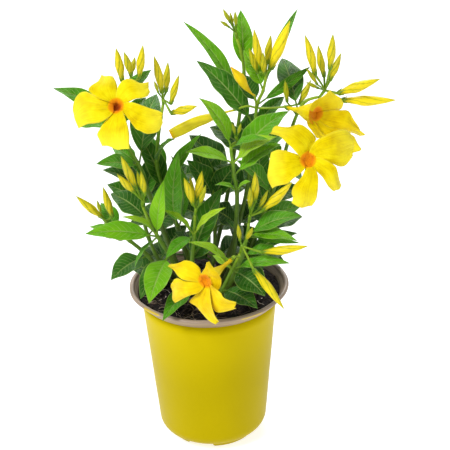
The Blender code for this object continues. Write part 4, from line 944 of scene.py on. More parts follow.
# %% Lay a shoot's stem and twigs
def lay_stem(piece, shoot):
    bottom, collar = stem_foot(shoot)
    fine = along_curve([collar] + [spot(*place) for place in shoot.stem], CURVE_STEPS)
    count = len(fine)
    radii = []
    for index in range(count):
        radius = STEM_FOOT_RADIUS + (STEM_TIP_RADIUS - STEM_FOOT_RADIUS) * index / (count - 1)
        off = min(index % CURVE_STEPS, CURVE_STEPS - index % CURVE_STEPS)
        radii.append(radius * (NODE_SWELLING if off == 0 and 0 < index < count - 1 else 1.0))
    path = [bottom, (bottom + collar) / 2] + fine
    radii = [STEM_FOOT_RADIUS, STEM_FOOT_RADIUS] + radii
    points, faces = rod(path, radii, STEM_SIDES)
    age = np.repeat([0.15 + 0.75 * index / (len(path) - 1) for index in range(len(path))], STEM_SIDES)
    piece.add(points, faces, 1, tone=age)
    for way in twig_paths(shoot):
        fine = along_curve(way, CURVE_STEPS)
        piece.add(*rod(fine, [TWIG_RADIUS] * len(fine), TWIG_SIDES), 1, tone=0.85)


# %% [markdown]
# ## Leaves
# A leaf is a stalk, a rib that thins to the tip, and a blade folded up along the rib, arched, quilted between
# its side veins and waved at its margin. The frame's leaves were turned by a rule until they stood clear of
# their neighbours. The turn of each is found again here by trying the same turns until the simple leaf's
# corners meet the frame's, so every fine leaf lies where its solid is.
# %% Where a leaf's middle runs
PETIOLE_RADIUS = 0.0009
CORNER_STATIONS = (0.52, 0.76, 1.0)
SAME_PLACE = 0.0001
LEAF_ARCH = 0.10
LEAF_FOLD = 0.26
BLADE_START = 0.16
BLADE_END = 0.985
WIDEST_SHIFT = 0.82
BLADE_ROUNDNESS = 0.9
TOWARDS_EYE = 0.45
TOWARDS_SKY = 0.75
TURNS = sorted(((swing, lift) for swing in range(-48, 49, 6) for lift in range(-48, 49, 6)),
               key=lambda turn: (turn[0] ** 2 + turn[1] ** 2, turn))


def blade_share(along):
    return math.sin(math.pi * min(along, BLADE_END) ** WIDEST_SHIFT) ** BLADE_ROUNDNESS


def leaf_axes(base, tip, roll, swing, lift):
    ahead = tip - base
    length = ahead.length
    ahead.normalize()
    upward = -FORWARD * TOWARDS_EYE + Vector((0.0, 0.0, 1.0)) * TOWARDS_SKY
    upward = (upward - ahead * upward.dot(ahead)).normalized()
    side = ahead.cross(upward)
    turn = Matrix.Rotation(math.radians(swing), 3, upward) @ Matrix.Rotation(math.radians(lift), 3, side)
    ahead, upward = turn @ ahead, turn @ upward
    side = ahead.cross(upward)
    bank = Matrix.Rotation(math.radians(roll), 3, ahead)
    return ahead, bank @ side, bank @ upward, length


# %% Find how the frame turned each leaf
def corner_places(base, leaf, swing, lift, stations):
    ahead, side, upward, length = leaf_axes(base, spot(*leaf.tip), leaf.roll, swing, lift)
    places = []
    for along in stations:
        middle = base + ahead * length * along + upward * 4.0 * along * (1.0 - along) * LEAF_ARCH * length
        full = blade_share((along - BLADE_START) / (1.0 - BLADE_START))
        half = max(PETIOLE_RADIUS, leaf.width * MM / 2 * full)
        lift_up = upward * half * LEAF_FOLD if half > PETIOLE_RADIUS else Vector()
        places += [middle - side * half + lift_up, middle + side * half + lift_up]
    return places


def found_turn(tree, base, leaf):
    for swing, lift in TURNS:
        if tree.find(corner_places(base, leaf, swing, lift, (1.0,))[0])[2] > SAME_PLACE:
            continue
        misses = [tree.find(place)[2] for place in corner_places(base, leaf, swing, lift, CORNER_STATIONS)]
        if sum(miss < SAME_PLACE for miss in misses) > len(misses) / 2:
            return swing, lift
    return None


def corner_tree(node):
    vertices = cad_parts[node].data.vertices
    tree = KDTree(len(vertices))
    for index, vertex in enumerate(vertices):
        tree.insert(vertex.co, index)
    tree.balance()
    return tree


# %% Skin of a leaf
ROWS = 46
ACROSS = np.array([-1, -0.96, -0.84, -0.66, -0.47, -0.28, -0.12, -0.04, 0,
                   0.04, 0.12, 0.28, 0.47, 0.66, 0.84, 0.96, 1])
BROADER = 1.06
QUILT = 0.050
WAVE = 0.10
GROOVE_DEPTH = 0.00035
GROOVE_WIDTH = 0.09
TIP_DROOP = 0.03
EDGE_THICKNESS = 0.0003
MIDDLE_EXTRA = 0.0004
FINEST = 0.00022
FINE_BLADE_END = 0.999
RIB_SHARES = (0.0, 0.16, 0.3, 1.0)
RIB_RADII = (0.0010, 0.0009, 0.0008, FINEST)
RIB_SIDES = 7


def lay_leaf(piece, base, leaf, swing, lift, chance):
    ahead, side, upward, length = (np.array(value) if isinstance(value, Vector) else value
                                   for value in leaf_axes(base, spot(*leaf.tip), leaf.roll, swing, lift))
    base = np.array(base)
    blade = np.linspace(0.0, 1.0, ROWS) ** 1.04
    along = BLADE_START + (1.0 - BLADE_START) * blade
    full = np.sin(np.pi * np.minimum(blade, FINE_BLADE_END) ** WIDEST_SHIFT) ** BLADE_ROUNDNESS
    half = np.maximum(leaf.width * BROADER * MM / 2 * full, FINEST)
    t, b = np.meshgrid(ACROSS, blade)
    out, h = np.abs(t), half[:, None]
    height = h * LEAF_FOLD * (1.3 * out - 0.3 * out ** 2)
    height -= GROOVE_DEPTH * np.exp(-(out / GROOVE_WIDTH) ** 2) * np.minimum(1.0, h / 0.004)
    veins = VEIN_PAIRS * (b - VEIN_SLANT * out - VEIN_BEND * out ** 2)
    between = np.sin(np.pi * np.clip(out * 1.05, 0, 1)) ** 0.7
    height += QUILT * h * (np.abs(np.cos(np.pi * veins)) - 0.5) * between
    beats, start = chance.uniform(1.6, 3.0), chance.uniform(0, math.tau)
    shift = np.where(t > 0, chance.uniform(1, 4), 0.0)
    height += WAVE * h * out ** 2.5 * np.sin(math.tau * beats * b + start + shift)
    arch = 4.0 * along * (1.0 - along) * LEAF_ARCH * length - TIP_DROOP * length * blade ** 3
    twist = (blade - 0.4) * chance.uniform(-0.22, 0.22)
    sway = 0.015 * length * np.sin(np.pi * blade) * chance.uniform(-1, 1)
    middle = base + ahead * (length * along)[:, None] + upward * arch[:, None] + side * sway[:, None]
    level = side * np.cos(twist)[:, None] + upward * np.sin(twist)[:, None]
    rise = upward * np.cos(twist)[:, None] - side * np.sin(twist)[:, None]
    top = middle[:, None] + level[:, None] * (t * h)[..., None] + rise[:, None] * height[..., None]
    thick = EDGE_THICKNESS + MIDDLE_EXTRA * (1.0 - out ** 2)
    bottom = top - rise[:, None] * thick[..., None]
    points, faces = thin_sheet(top, bottom)
    count = t.size
    tone = leaf.tone + chance.uniform(-0.05, 0.05)
    piece.add(points, faces, 0, along=np.tile(b.ravel(), 2), across=np.tile(t.ravel(), 2), tone=tone,
              under=np.repeat([0.0, 1.0], count))
    reach = np.concatenate([np.linspace(0.0, BLADE_START, 5)[:-1], along[::3]])
    lean = np.concatenate([np.zeros(4), sway[::3]])
    drop = np.concatenate([np.zeros(4), TIP_DROOP * length * blade[::3] ** 3])
    path, ribs = [], np.interp(reach, RIB_SHARES, RIB_RADII)
    for share, off, fall, rib in zip(reach, lean, drop, ribs):
        sunk = rib * 0.9 * min(1.0, max(0.0, (share - 0.10) / 0.1)) + 0.0003 * (share > BLADE_START)
        bow = 4.0 * share * (1.0 - share) * LEAF_ARCH * length - fall - sunk
        path.append(Vector(base + ahead * length * share + upward * bow + side * off))
    piece.add(*rod(path, ribs, RIB_SIDES), 1, tone=0.3 + 0.6 * leaf.tone)


# %% Grow the shoots
left_out = 0
for name, shoot in SHOOTS.items():
    chance = random.Random(name)
    leafy = Piece()
    lay_stem(leafy, shoot)
    path, nodes = stem_path(shoot)
    tree = corner_tree("shoot_" + name)
    for leaf in shoot.leaves:
        base = path[min(nodes[leaf.node], len(path) - 2)]
        turn = found_turn(tree, base, leaf)
        if turn is None:
            left_out += 1
            print(name, "has no leaf at", leaf.tip)
            continue
        lay_leaf(leafy, base, leaf, *turn, chance)
    leafy.build("leafy_" + name, [leaf_finish, stem_finish], "foliage", "shoot_" + name)
    print(name, "has", len(leafy.faces), "faces")
print(left_out, "leaves left out")

# %% [markdown]
# ## Bud clusters
# A mandevilla flower opens from a long pointed bud whose petals are wrapped round each other like an
# umbrella, so five seams wind up it. Short green sepals hold its base. Buds are rods whose cross-section has
# five overlapping lobes that turn as they rise, so the seams are real edges and not only colour.
# %% Table of clusters
Bud = namedtuple("Bud", "start tip girth")
Cluster = namedtuple("Cluster", "shoot end knot buds")
MAIN_END = 0
CLUSTERS = {
    "buds_left_top": Cluster("left_top", MAIN_END, (129, 84, 25), [
        Bud((122, 80, 28), (116, 48, 34), 4.3), Bud((131, 75, 30), (124, 52, 36), 3.6),
        Bud((131, 74, 20), (135, 57, 16), 3.0), Bud((139, 77, 28), (143, 45, 34), 4.2)]),
    "buds_left_fork": Cluster("left_fork", MAIN_END, (163, 99, 12), [
        Bud((162, 92, 16), (154, 56, 22), 4.2), Bud((166, 91, 6), (168, 62, 2), 3.8),
        Bud((158, 92, 22), (154, 81, 26), 1.8), Bud((171, 103, 16), (179, 75, 22), 3.6),
        Bud((172, 113, 24), (197, 106, 34), 4.4)]),
    "buds_left_mid": Cluster("left_mid", MAIN_END, (143, 201, 46), [
        Bud((136, 187, 52), (121, 156, 60), 4.2), Bud((134, 192, 58), (117, 174, 68), 3.6),
        Bud((142, 190, 42), (137, 171, 40), 2.4), Bud((145, 194, 52), (141, 171, 58), 3.2)]),
    "buds_left_low": Cluster("left_low", MAIN_END, (106, 221, 20), [
        Bud((102, 217, 24), (76, 196, 34), 4.2), Bud((112, 216, 18), (103, 187, 20), 4.0),
        Bud((101, 213, 14), (97, 200, 10), 2.0)]),
    "buds_centre": Cluster("centre", MAIN_END, (196, 209, 42), [
        Bud((193, 204, 46), (184, 178, 54), 4.0), Bud((194, 201, 36), (190, 176, 32), 2.8),
        Bud((197, 199, 42), (202, 171, 44), 4.2), Bud((200, 204, 48), (206, 185, 54), 2.8)]),
    "buds_centre_right": Cluster("centre_right", MAIN_END, (236, 137, 34), [
        Bud((235, 134, 36), (232, 123, 38), 1.8), Bud((238, 134, 36), (241, 123, 38), 1.8)]),
    "buds_tall_middle": Cluster("tall_middle", MAIN_END, (266, 72, -15), [
        Bud((261, 67, -10), (254, 29, -4), 4.3), Bud((257, 72, -16), (249, 48, -16), 3.4),
        Bud((267, 63, -20), (271, 35, -24), 3.8), Bud((271, 68, -12), (290, 21, -8), 5.8),
        Bud((264, 74, -6), (263, 52, 0), 3.0)]),
    "buds_tall_back": Cluster("tall_back", MAIN_END, (236, 33, -38), [
        Bud((230, 22, -36), (223, 9, -34), 2.2), Bud((229, 27, -34), (220, 21, -32), 1.8),
        Bud((233, 25, -40), (230, 12, -44), 1.8), Bud((236, 26, -34), (235, 11, -30), 2.2)]),
    "buds_right": Cluster("right", MAIN_END, (325, 90, -4), [
        Bud((315, 74, 2), (305, 35, 8), 4.4), Bud((324, 76, -8), (318, 45, -16), 3.8),
        Bud((330, 68, 4), (333, 34, 10), 4.4), Bud((330, 80, -6), (341, 53, -12), 3.8),
        Bud((317, 84, 8), (306, 68, 14), 2.2), Bud((318, 88, -2), (306, 82, -2), 2.0),
        Bud((339, 93, -8), (380, 79, -4), 5.4), Bud((343, 100, -14), (396, 100, -10), 5.4)]),
    "buds_right_pair": Cluster("right", 2, (290, 106, -16), [
        Bud((287, 101, -14), (285, 80, -14), 2.8), Bud((300, 103, -18), (311, 80, -22), 3.6)]),
    "buds_right_low": Cluster("right_low", MAIN_END, (250, 216, 38), [
        Bud((255, 201, 42), (255, 172, 48), 4.0), Bud((250, 208, 44), (250, 187, 52), 3.0),
        Bud((259, 208, 40), (268, 190, 42), 2.6), Bud((263, 210, 40), (292, 182, 38), 5.0)]),
    "buds_front": Cluster("front", MAIN_END, (242, 246, 59), [
        Bud((240, 240, 58), (238, 224, 58), 2.5), Bud((246, 240, 58), (253, 227, 62), 2.5),
        Bud((263, 252, 62), (308, 246, 74), 4.6), Bud((254, 270, 70), (284, 309, 86), 4.6)]),
}
print(len(CLUSTERS), "clusters with", sum(len(cluster.buds) for cluster in CLUSTERS.values()), "buds")

# %% Lay a wrapped bud
BUD_RADII = (0.40, 0.66, 1.0, 0.64, 0.05)
BUD_SHARES = (0.0, 0.18, 0.42, 0.74, 1.0)
PEDICEL_RADIUS = 0.0008
PEDICEL_SIDES = 9
KNOT_RADIUS = 0.0017
LOBES = 5
LOBE_STEP = 0.13
SEAM_WIDTH = 0.16
BUD_TURNS = 0.42
BUD_SIDES = 35
BUD_ROWS = 24
BUD_TIP = 0.00025
SEPAL_THICKNESS = 0.0004


def wrapped(angle, share):
    """Radius share of five overlapping lobes, which fade at both ends."""
    turn = (angle * LOBES / math.tau) % 1.0
    fade = math.sin(math.pi * min(1.0, max(0.0, share))) ** 0.5
    return 1.0 - LOBE_STEP * fade * (1.0 - turn) ** 1.6


def bud_radius(share):
    places = [Vector(place) for place in zip(BUD_SHARES, BUD_RADII)]
    fine = along_curve(places, 6)
    return float(np.interp(share, [place.x for place in fine], [place.y for place in fine]))


def lay_bud(piece, knot, bud, chance):
    start, tip = spot(*bud.start), spot(*bud.tip)
    ahead = tip - start
    length, girth = ahead.length, bud.girth * MM
    bend = ahead.orthogonal().normalized() * length * chance.uniform(-0.02, 0.02)
    shares = np.linspace(0.0, 1.0, BUD_ROWS)
    path = [start + ahead * share + bend * math.sin(math.pi * share) for share in shares]
    radii = [max(girth * bud_radius(share), BUD_TIP) for share in shares]
    turns = -math.tau * BUD_TURNS
    points, faces = rod(path, radii, BUD_SIDES, turns, wrapped)
    angles = [math.tau * number / BUD_SIDES for number in range(BUD_SIDES)]
    # Each seam gets the mark that the bud finish paints darker, as shade in the crease.
    seam = [float((angle + turns * share) * LOBES / math.tau % 1.0 < SEAM_WIDTH)
            for share in shares for angle in angles]
    ripe = min(0.85, 0.15 + 0.15 * (bud.girth - 1.5)) + chance.uniform(-0.06, 0.06)
    piece.add(points, faces, 0, along=np.repeat(shares, BUD_SIDES), tone=ripe, glow=seam)
    foot = start - ahead.normalized() * 0.001
    stalk = along_curve([knot, (knot + foot) / 2 + bend * 0.5, foot, start + ahead * 0.03], 5)
    top = girth * 0.36 if girth > 0.003 else PEDICEL_RADIUS
    sizes = np.linspace(PEDICEL_RADIUS, top, len(stalk))
    piece.add(*rod(stalk, sizes, PEDICEL_SIDES), 1, tone=0.55 + 0.4 * ripe)
    lay_sepals(piece, start, ahead, girth * 0.42, min(0.0052, length * 0.17))


def lay_sepals(piece, start, ahead, radius, length):
    """Five short pointed scales round the base of a flower."""
    along = ahead.normalized()
    side = along.orthogonal().normalized()
    for number in range(LOBES):
        turn = Matrix.Rotation(math.tau * (number + 0.5) / LOBES, 3, along)
        out, over = turn @ side, along.cross(turn @ side)
        rows = []
        for share in (0.0, 0.35, 0.7, 1.0):
            half = radius * 0.62 * (1.0 - share ** 1.4) + 0.0001
            reach = radius * (1.02 + 0.55 * share) + 0.0002
            rows.append([start + along * (length * share - 0.001) + out * (reach - 0.12 * abs(t) * radius)
                         + over * half * t for t in (-1.0, 0.0, 1.0)])
        top = np.array(rows)
        piece.add(*thin_sheet(top, top - np.array(out) * SEPAL_THICKNESS), 1, tone=0.72)


# %% Make the clusters
def lay_stalk(piece, end, knot, far_radius):
    point, ahead, radius = end
    start = point + ahead * CLEARANCE
    path = along_curve([start, start + ahead * 0.0015, knot, knot + (knot - start).normalized() * 0.0012], 4)
    piece.add(*rod(path, spread([radius, radius, far_radius, far_radius * 0.5], len(path)), 10), 1, tone=0.75)


for name, cluster in CLUSTERS.items():
    chance = random.Random(name)
    buds = Piece()
    knot = spot(*cluster.knot)
    lay_stalk(buds, stem_ends(SHOOTS[cluster.shoot])[cluster.end], knot, KNOT_RADIUS)
    for bud in cluster.buds:
        lay_bud(buds, knot, bud, chance)
    buds.build("wrapped_" + name, [bud_finish, stem_finish], "bud_yellow", name)
    print(name, "has", len(buds.faces), "faces")

# %% [markdown]
# ## Blooms
# An open flower is a narrow tube that widens to a funnel, with an orange throat and five petals that overlap
# like the blades of a pinwheel. The one at the upper right is made with four. Each petal is wider at one side
# of its end, ruffled, and lined from the throat. No two are alike, so each has an outline of its own here
# instead of one petal repeated.
# %% Table of blooms
# Petal: the spots of its clockwise edge from throat to end, of its other edge, and of the end between them
Petal = namedtuple("Petal", "first second end", defaults=((),))
# Bloom: shoot and end it grows from, throat's spot, funnel's width, droop of the petals, warmth, petals, and
# how dark its eye is
Bloom = namedtuple("Bloom", "shoot end throat wide droop tone petals eye", defaults=(0.0,))
BLOOMS = {
    "bloom_left": Bloom("left_top", 1, (116, 106, 66), 1.0, 0.20, 0.1, [
        Petal([(115, 100), (115.5, 94), (117, 87), (115.5, 81), (112.5, 76)],
              [(110, 101), (98, 97.5), (88.5, 90.5), (91.5, 85.5), (98, 81), (101, 74.5)], [(107, 76)]),
        Petal([(123, 103), (128, 100.5), (135, 99), (142, 98), (147, 95.5), (149.5, 91)],
              [(117, 99), (117.5, 91), (119, 85), (122, 81), (127, 78.5), (133, 79), (140, 82.5), (149, 82)],
              [(148.5, 87)]),
        Petal([(124, 112), (128, 118), (132, 124), (136, 129), (140, 130.5), (146, 133), (152, 132),
               (158, 129), (162, 121)],
              [(124, 104), (130, 103), (136, 103), (143, 105), (150, 107.5), (158, 110.5), (162.5, 113)]),
        Petal([(112, 114), (108, 119), (103, 124), (100, 129), (97, 134), (99, 139), (102, 145.5)],
              [(122, 113), (126, 120), (128, 127), (129, 135), (129, 142), (129.5, 149)],
              [(110, 146.5), (118, 149.5)]),
        Petal([(110, 102), (103, 99), (95, 95), (89, 92.5), (85, 91), (80, 92.5), (76, 97), (73.5, 103),
               (72.5, 110)],
              [(111, 113), (106, 118), (101, 121.5), (94, 123), (86, 123.5), (77.5, 126.5)], [(74.5, 118)]),
    ], 0.7),
    "bloom_right_low": Bloom("right", 1, (308, 160, 66), 1.0, 0.20, 0.1, [
        Petal([(310, 151), (314, 143), (316, 138), (309, 130), (300, 124.5), (290, 127), (283, 127),
               (276.5, 126)],
              [(302, 158), (298, 153), (292, 148), (286, 142.5), (281, 137.5), (277, 136), (270.5, 135)],
              [(272.5, 129)]),
        Petal([(301, 160), (297, 156), (291, 152.5), (285, 150.5), (278, 150), (271.5, 153)],
              [(303, 169), (299, 174), (293, 179), (288, 184), (281, 186), (276, 187.5), (272.5, 189.5)],
              [(269.5, 163), (267.5, 177)]),
        Petal([(306, 171), (302, 177), (296, 183), (293, 188), (292, 194), (293.5, 199), (292, 204)],
              [(315, 171), (318, 176), (318.5, 184), (318, 192), (316.5, 199), (312, 206)], [(302, 207.5)]),
        Petal([(315, 168), (319, 173), (323, 178), (328, 186), (334, 192)],
              [(316, 158), (324, 160), (331, 163), (336, 167), (338, 173), (339.5, 180), (342, 187)]),
        Petal([(317, 157), (325, 161), (333, 164), (340, 167), (346, 165.5), (352, 157)],
              [(311, 151), (316, 141), (325, 136), (336, 131), (345, 130), (351, 134)], [(354, 145)]),
    ]),
    "bloom_right_high": Bloom("tall_middle", 2, (317, 114, 27), 1.25, -0.30, 0.35, [
        Petal([(320, 112), (327, 112), (335, 111), (343, 109.5), (345, 103)],
              [(310, 108), (314, 102), (321, 98), (326, 94), (331, 90)], [(338, 96.5)]),
        Petal([(318, 121), (328, 127), (340, 131), (350, 133), (358, 134), (364.5, 137)],
              [(320, 113), (331, 111), (342, 110.5), (351, 111.5), (355, 121), (361, 130)]),
        Petal([(311, 120), (314, 128), (319, 137), (330, 146), (343, 153), (352, 156)],
              [(318, 121), (330, 127), (343, 130), (353, 135), (358, 139), (361, 145)], [(358.5, 151)]),
        Petal([(308, 117), (308, 124), (312, 131), (318.5, 138.5)],
              [(314, 120), (317, 127), (322, 132), (327, 136)]),
    ]),
    "bloom_front": Bloom("front", 1, (205, 281, 104), 0.85, 0.16, 0.55, [
        Petal([(202, 277), (200, 274), (198.5, 269), (195, 264.5), (190, 262), (184, 261), (179, 263),
               (173, 264.5), (168.5, 265.5)],
              [(198, 281), (190, 280.5), (184, 280), (178, 276), (173, 271), (168.5, 267.5)]),
        Petal([(211, 289), (218, 290), (221, 284), (219, 276), (214, 271), (210, 266.5), (207.5, 262.5)],
              [(202, 277), (200.5, 275.5), (203, 272.5), (205, 268), (206.5, 262.5)]),
        Petal([(208, 290), (211, 299), (211.5, 306), (213, 311), (217, 313.5), (224, 312.5), (235, 309)],
              [(211, 286), (220, 293), (223, 297), (229, 300.5), (235, 303)]),
        Petal([(200, 288), (196, 294), (191, 299), (188.5, 303), (194, 307), (199, 313), (205, 319),
               (210, 322), (216, 324)],
              [(209, 290), (210, 299), (211, 306), (213.5, 312), (216, 318), (217.5, 322.5)]),
        Petal([(198, 281), (190, 281), (185, 281), (181, 279.5), (177.5, 278.5), (173, 280.5),
               (170.5, 284.5)],
              [(202, 288), (197, 293), (190, 295.5), (184, 298.5), (179, 301), (175, 303)], [(171.5, 293)]),
    ]),
}
THROAT_RADIUS = 0.0088
CALYX_RADIUS = 0.0016
TUBE_SHARES = ((0.22, 0.20), (0.42, 0.28), (0.62, 0.60), (0.82, 0.90), (1.0, 1.0))
PETAL_PITCH = 0.20
PETAL_RISE = 0.14
print(len(BLOOMS), "open blooms with", sum(len(bloom.petals) for bloom in BLOOMS.values()), "petals")

# %% [markdown]
# ## Petals
# A petal is a patch between four curves: its two edges, its end, and its seat on the throat. The curves are
# spots in the view, so each is first laid back onto the petal's own surface, which rises from the throat and
# then droops. That way the outline holds from the front, and the petal has a form of its own from the side.
# %% Lay a petal's outline on its surface
PETAL_START = THROAT_RADIUS * 0.8


class PetalFrame:
    """The throat, the flower's axis, and the petal's way out and way over."""

    def __init__(self, throat, axis, petal, droop):
        self.throat, self.axis, self.droop = throat, axis, droop
        middle = (Vector(petal.first[-1]) + Vector(petal.second[-1])) / 2
        self.out = Vector((1.0, 0.0, 0.0))
        far = self.through(spot(*middle, 0.0), 0.0) - throat
        self.length = far.length
        self.out = far.normalized()
        self.over = axis.cross(self.out)

    def through(self, place, height):
        """Where the eye's ray to a place meets the plane at a height over the throat."""
        ray = place - EYE
        return EYE + ray * ((self.throat + self.axis * height - EYE).dot(self.axis) / ray.dot(self.axis))

    def height(self, reach, aside):
        share = np.maximum(0.0, (reach - PETAL_START) / (self.length - PETAL_START))
        rise = PETAL_RISE * self.length * np.sin(math.pi / 2 * np.minimum(1.0, share * 1.6))
        return rise + PETAL_PITCH * aside - self.droop * self.length * share ** 2.2

    def local(self, place):
        """How far out and over a spot lies on the petal's surface."""
        target, height = spot(*place, 0.0), 0.0
        for _ in range(24):
            off = self.through(target, height) - self.throat
            height += 0.5 * (float(self.height(off.dot(self.out), off.dot(self.over))) - height)
        return np.array((off.dot(self.out), off.dot(self.over)))


def even_curve(places, count):
    """Count points evenly along a smooth curve through places."""
    fine = np.array([tuple(place) for place in along_curve([Vector(place) for place in places], 8)])
    run = np.concatenate([[0.0], np.cumsum(np.linalg.norm(np.diff(fine, axis=0), axis=1))])
    steps = np.linspace(0.0, run[-1], count)
    return np.stack([np.interp(steps, run, fine[:, axis]) for axis in range(fine.shape[1])], axis=1)


# %% Lay one petal
SEAT_SHARE = 0.66
SEAT_SPREAD = math.radians(9.0)
SEAT_FADE = 1.0
PETAL_ROWS = 29
PETAL_COLUMNS = 19
PETAL_THICKNESS = 0.0005
PETAL_SWELL = 0.042
EDGE_DROOP = 0.060
RUFFLE = 0.044
FINE_LINES = 0.00016
THROAT_DIP = 0.006
THROAT_GLOW = 0.66


def spread_at_seat(edge, other):
    """The edge, carried down to the seat and spread away from the other there, so that petals overlap."""
    aside = math.copysign(1.0, edge[0][1] - other[0][1])
    kept = []
    for place in [edge[0] * SEAT_SHARE] + edge:
        near = 1.0 - (np.hypot(*place) / THROAT_RADIUS - 1.0) / SEAT_FADE
        turn = aside * SEAT_SPREAD * min(1.0, max(0.0, near))
        kept.append(np.array((place[0] * math.cos(turn) - place[1] * math.sin(turn),
                              place[0] * math.sin(turn) + place[1] * math.cos(turn))))
    return kept


def lay_petal(piece, throat, axis, petal, droop, tone, chance):
    own = PetalFrame(throat, axis, petal, droop)
    first, second = ([own.local(place) for place in places] for places in (petal.first, petal.second))
    first, second = spread_at_seat(first, second), spread_at_seat(second, first)
    end = [first[-1]] + [own.local(place) for place in petal.end] + [second[-1]]
    edge_a, edge_b = even_curve(first, PETAL_ROWS), even_curve(second, PETAL_ROWS)
    seat = even_curve([first[0], second[0]], PETAL_COLUMNS)
    tip = even_curve(end, PETAL_COLUMNS)
    v, u = np.meshgrid(np.linspace(0.0, 1.0, PETAL_COLUMNS), np.linspace(0.0, 1.0, PETAL_ROWS))
    v3, u3 = v[..., None], u[..., None]
    flat = (1 - v3) * edge_a[:, None] + v3 * edge_b[:, None] + (1 - u3) * seat[None] + u3 * tip[None]
    flat -= ((1 - u3) * ((1 - v3) * seat[0] + v3 * seat[-1]) + u3 * ((1 - v3) * tip[0] + v3 * tip[-1]))
    reach, aside = flat[..., 0], flat[..., 1]
    from_throat = np.hypot(reach, aside) / THROAT_RADIUS
    height = own.height(reach, aside) - THROAT_DIP * np.maximum(0.0, 0.95 - from_throat) ** 1.5
    t, phase, length = v * 2.0 - 1.0, chance.uniform(0, math.tau), own.length
    height += PETAL_SWELL * length * u ** 2 * np.sin(t * 4.0 + phase)
    height -= EDGE_DROOP * length * t ** 2 * u ** 1.2
    height += RUFFLE * length * np.abs(t) ** 3 * u * np.sin(u * 8.0 + phase * 2 + 2.0 * (t > 0))
    height += FINE_LINES * np.sin(t * 24.0 + phase) * u
    out, over, up = (np.array(value) for value in (own.out, own.over, axis))
    middle = np.array(throat) + out * reach[..., None] + over * aside[..., None] + up * height[..., None]
    normal = np.cross(np.gradient(middle, axis=0), np.gradient(middle, axis=1))
    normal /= np.maximum(np.linalg.norm(normal, axis=2, keepdims=True), 1e-12)
    half = normal * PETAL_THICKNESS / 2
    points, faces = thin_sheet(middle + half, middle - half)
    glow = THROAT_GLOW * np.clip((1.06 - from_throat) / 0.42, 0.0, 1.0).ravel()
    piece.add(points, faces, 0, along=np.tile(u.ravel(), 2), across=np.tile(t.ravel(), 2), tone=tone,
              glow=np.tile(glow, 2))


# %% Lay a funnel with its throat
FUNNEL_SIDES = 40
# The wall inside the throat: its width as a share of the funnel's, and its depth
THROAT_WALL = ((0.98, 0.0012), (0.86, 0.0016), (0.72, 0.0022), (0.56, 0.0030), (0.40, 0.0040), (0.26, 0.0050),
               (0.10, 0.0058), (0.02, 0.0060))


def fluted(angle, share):
    """Radius share of a funnel with five soft flutes that grow towards its mouth."""
    return 1.0 + 0.03 * share * math.cos(angle * LOBES)


def lay_funnel(piece, end, throat, wide, tone, eye):
    point, ahead, radius = end
    start = point + ahead * CLEARANCE
    axis = (throat - start).normalized()
    length = (throat - start).length
    path = [start, start + ahead * 0.002, start + axis * length * 0.16]
    radii = [radius, radius, CALYX_RADIUS * 1.3]
    for share, thickness in TUBE_SHARES:
        path.append(start + axis * length * share)
        radii.append(THROAT_RADIUS * thickness * (1.0 + (wide - 1.0) * share))
    fine = along_curve(path, 5)
    sizes = spread(radii, len(fine))
    angles = [math.tau * number / FUNNEL_SIDES for number in range(FUNNEL_SIDES)]
    rows = list(round_rows(fine, sizes, FUNNEL_SIDES, 0.0, fluted))
    level = rows[-1][0] - np.array(fine[-1])
    level /= np.linalg.norm(level)
    over = np.cross(np.array(axis), level)
    for share, depth in THROAT_WALL:
        centre = np.array(throat - axis * depth * (0.6 + 0.6 * eye))
        rows.append(np.array([centre + (level * math.cos(angle) + over * math.sin(angle))
                              * THROAT_RADIUS * wide * share for angle in angles]))
    rows = np.array(rows)
    faces = row_faces(len(rows), FUNNEL_SIDES, True)
    count = len(rows) * FUNNEL_SIDES
    faces += [tuple(reversed(range(FUNNEL_SIDES))), tuple(range(count - FUNNEL_SIDES, count))]
    glow = [0.0] * len(fine) + [0.3, 0.45, 0.54, 0.58, 0.58 + 0.3 * eye, 0.60 + 0.45 * eye, 0.62 + 0.5 * eye]
    glow.append(glow[-1])
    across = [math.sin(angle * LOBES) for _ in rows for angle in angles]
    piece.add(rows.reshape(-1, 3), faces, 0, along=0.1, across=across, tone=tone,
              glow=np.repeat(glow, FUNNEL_SIDES))
    piece.add(*rod(fine[:9], spread([radius * 1.05, CALYX_RADIUS * 1.4], 9), 10), 1, tone=0.9)
    lay_sepals(piece, fine[8], path[3] - path[2], CALYX_RADIUS * 1.25, 0.005)
    return axis


# %% Make the open blooms
for name, bloom in BLOOMS.items():
    chance = random.Random(name)
    flower = Piece()
    throat = spot(*bloom.throat)
    axis = lay_funnel(flower, stem_ends(SHOOTS[bloom.shoot])[bloom.end], throat, bloom.wide, bloom.tone,
                      bloom.eye)
    for petal in bloom.petals:
        lay_petal(flower, throat, axis, petal, bloom.droop, bloom.tone, chance)
    flower.build("open_" + name, [petal_finish, stem_finish], "petal_yellow", name)
    print(name, "has", len(flower.faces), "faces")

# %% [markdown]
# ## Shut flowers
# One flower is spent and has rolled up, and one is half open. Their petals can't be told apart any more, so
# petal sheets would be wasted: they are rods with deep spiral folds, in the petals' own finish.
# %% Make the shut flowers
ROLLED = ("tall_middle", 1, [(223, 113, -6), (208, 118, 0), (196, 122, 4), (181, 130, 10), (171, 135, 12)],
          [1.4, 4.6, 5.8, 6.2, 5.2])
HALF_OPEN = ("tall_middle", 3, [(251, 93, 2), (245, 86, 8), (240, 78, 12), (231, 67, 16)],
             [1.0, 3.4, 5.2, 0.5])
FOLD_DEPTH = 0.16
SHUT_TURNS = -2.2
SHUT_SIDES = 36


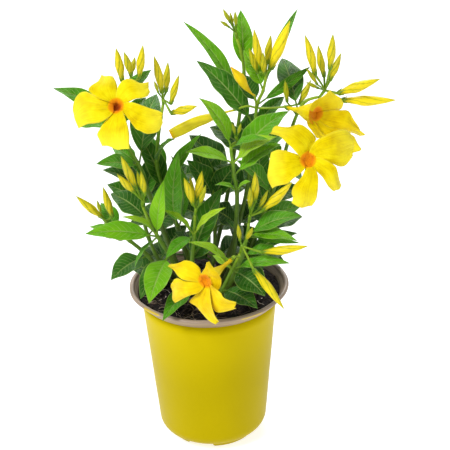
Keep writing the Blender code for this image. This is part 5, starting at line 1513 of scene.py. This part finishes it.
def folded(angle, share):
    fold = 0.5 + 0.5 * math.sin(angle * 4 + 2.5 * math.sin(angle))
    return 1.0 - FOLD_DEPTH * min(1.0, share * 2.0) * fold


for name, flower, tone in (("bloom_rolled", ROLLED, 0.0), ("bloom_half_open", HALF_OPEN, 0.7)):
    shoot, number, places, radii = flower
    point, ahead, radius = stem_ends(SHOOTS[shoot])[number]
    start = point + ahead * CLEARANCE
    path = along_curve([start, start + ahead * 0.002] + [spot(*place) for place in places], 7)
    sizes = spread([radius, radius] + [size * MM for size in radii], len(path))
    shut = Piece()
    points, faces = rod(path, sizes, SHUT_SIDES, SHUT_TURNS, folded)
    shares = np.repeat(np.linspace(0.0, 1.0, len(path)), SHUT_SIDES)
    across = np.tile(np.linspace(-0.7, 0.7, SHUT_SIDES), len(path))
    # The along mark sits near the end all over, so the whole rod takes the paler end colour: painted light
    # that lifts the shade on its downward faces.
    shut.add(points, faces, 0, along=0.95, across=across, tone=tone,
             glow=np.clip((shares - 0.84) * 2.0, 0.0, 0.4))
    shut.add(*rod(path[:10], spread([radius * 1.1, radius * 1.1], 10), 9), 1, tone=0.9)
    shut.build("shut_" + name, [petal_finish, stem_finish], "petal_yellow", name)
    print(name, "has", len(shut.faces), "faces")

# %% [markdown]
# ## Floor
# The plant stands on a plain white floor that runs out of sight on all sides. One large face does, because
# nothing on it shows. It gives off some light of its own, so that it stays as pale as the studio.
# %% Make the floor
FLOOR_REACH = 9
floor_finish, tree, surface = new_finish("floor_white")
dress(tree, surface, colours(tree, noise(tree, 3.0), (0.0, (196, 196, 196)), (1.0, (200, 200, 200))), 0.6,
      Specular_IOR_Level=0.0, Emission_Color=(1.0, 1.0, 1.0, 1.0), Emission_Strength=0.72)
mesh = bpy.data.meshes.new("floor")
corners = [(x * FLOOR_REACH, y * FLOOR_REACH, 0) for x, y in ((-1, -1), (1, -1), (1, 1), (-1, 1))]
mesh.from_pydata(corners, [], [(0, 1, 2, 3)])
mesh.materials.append(floor_finish)
floor = bpy.data.objects.new("floor", mesh)
bpy.context.scene.collection.objects.link(floor)
print("floor", 2 * FLOOR_REACH, "m wide")
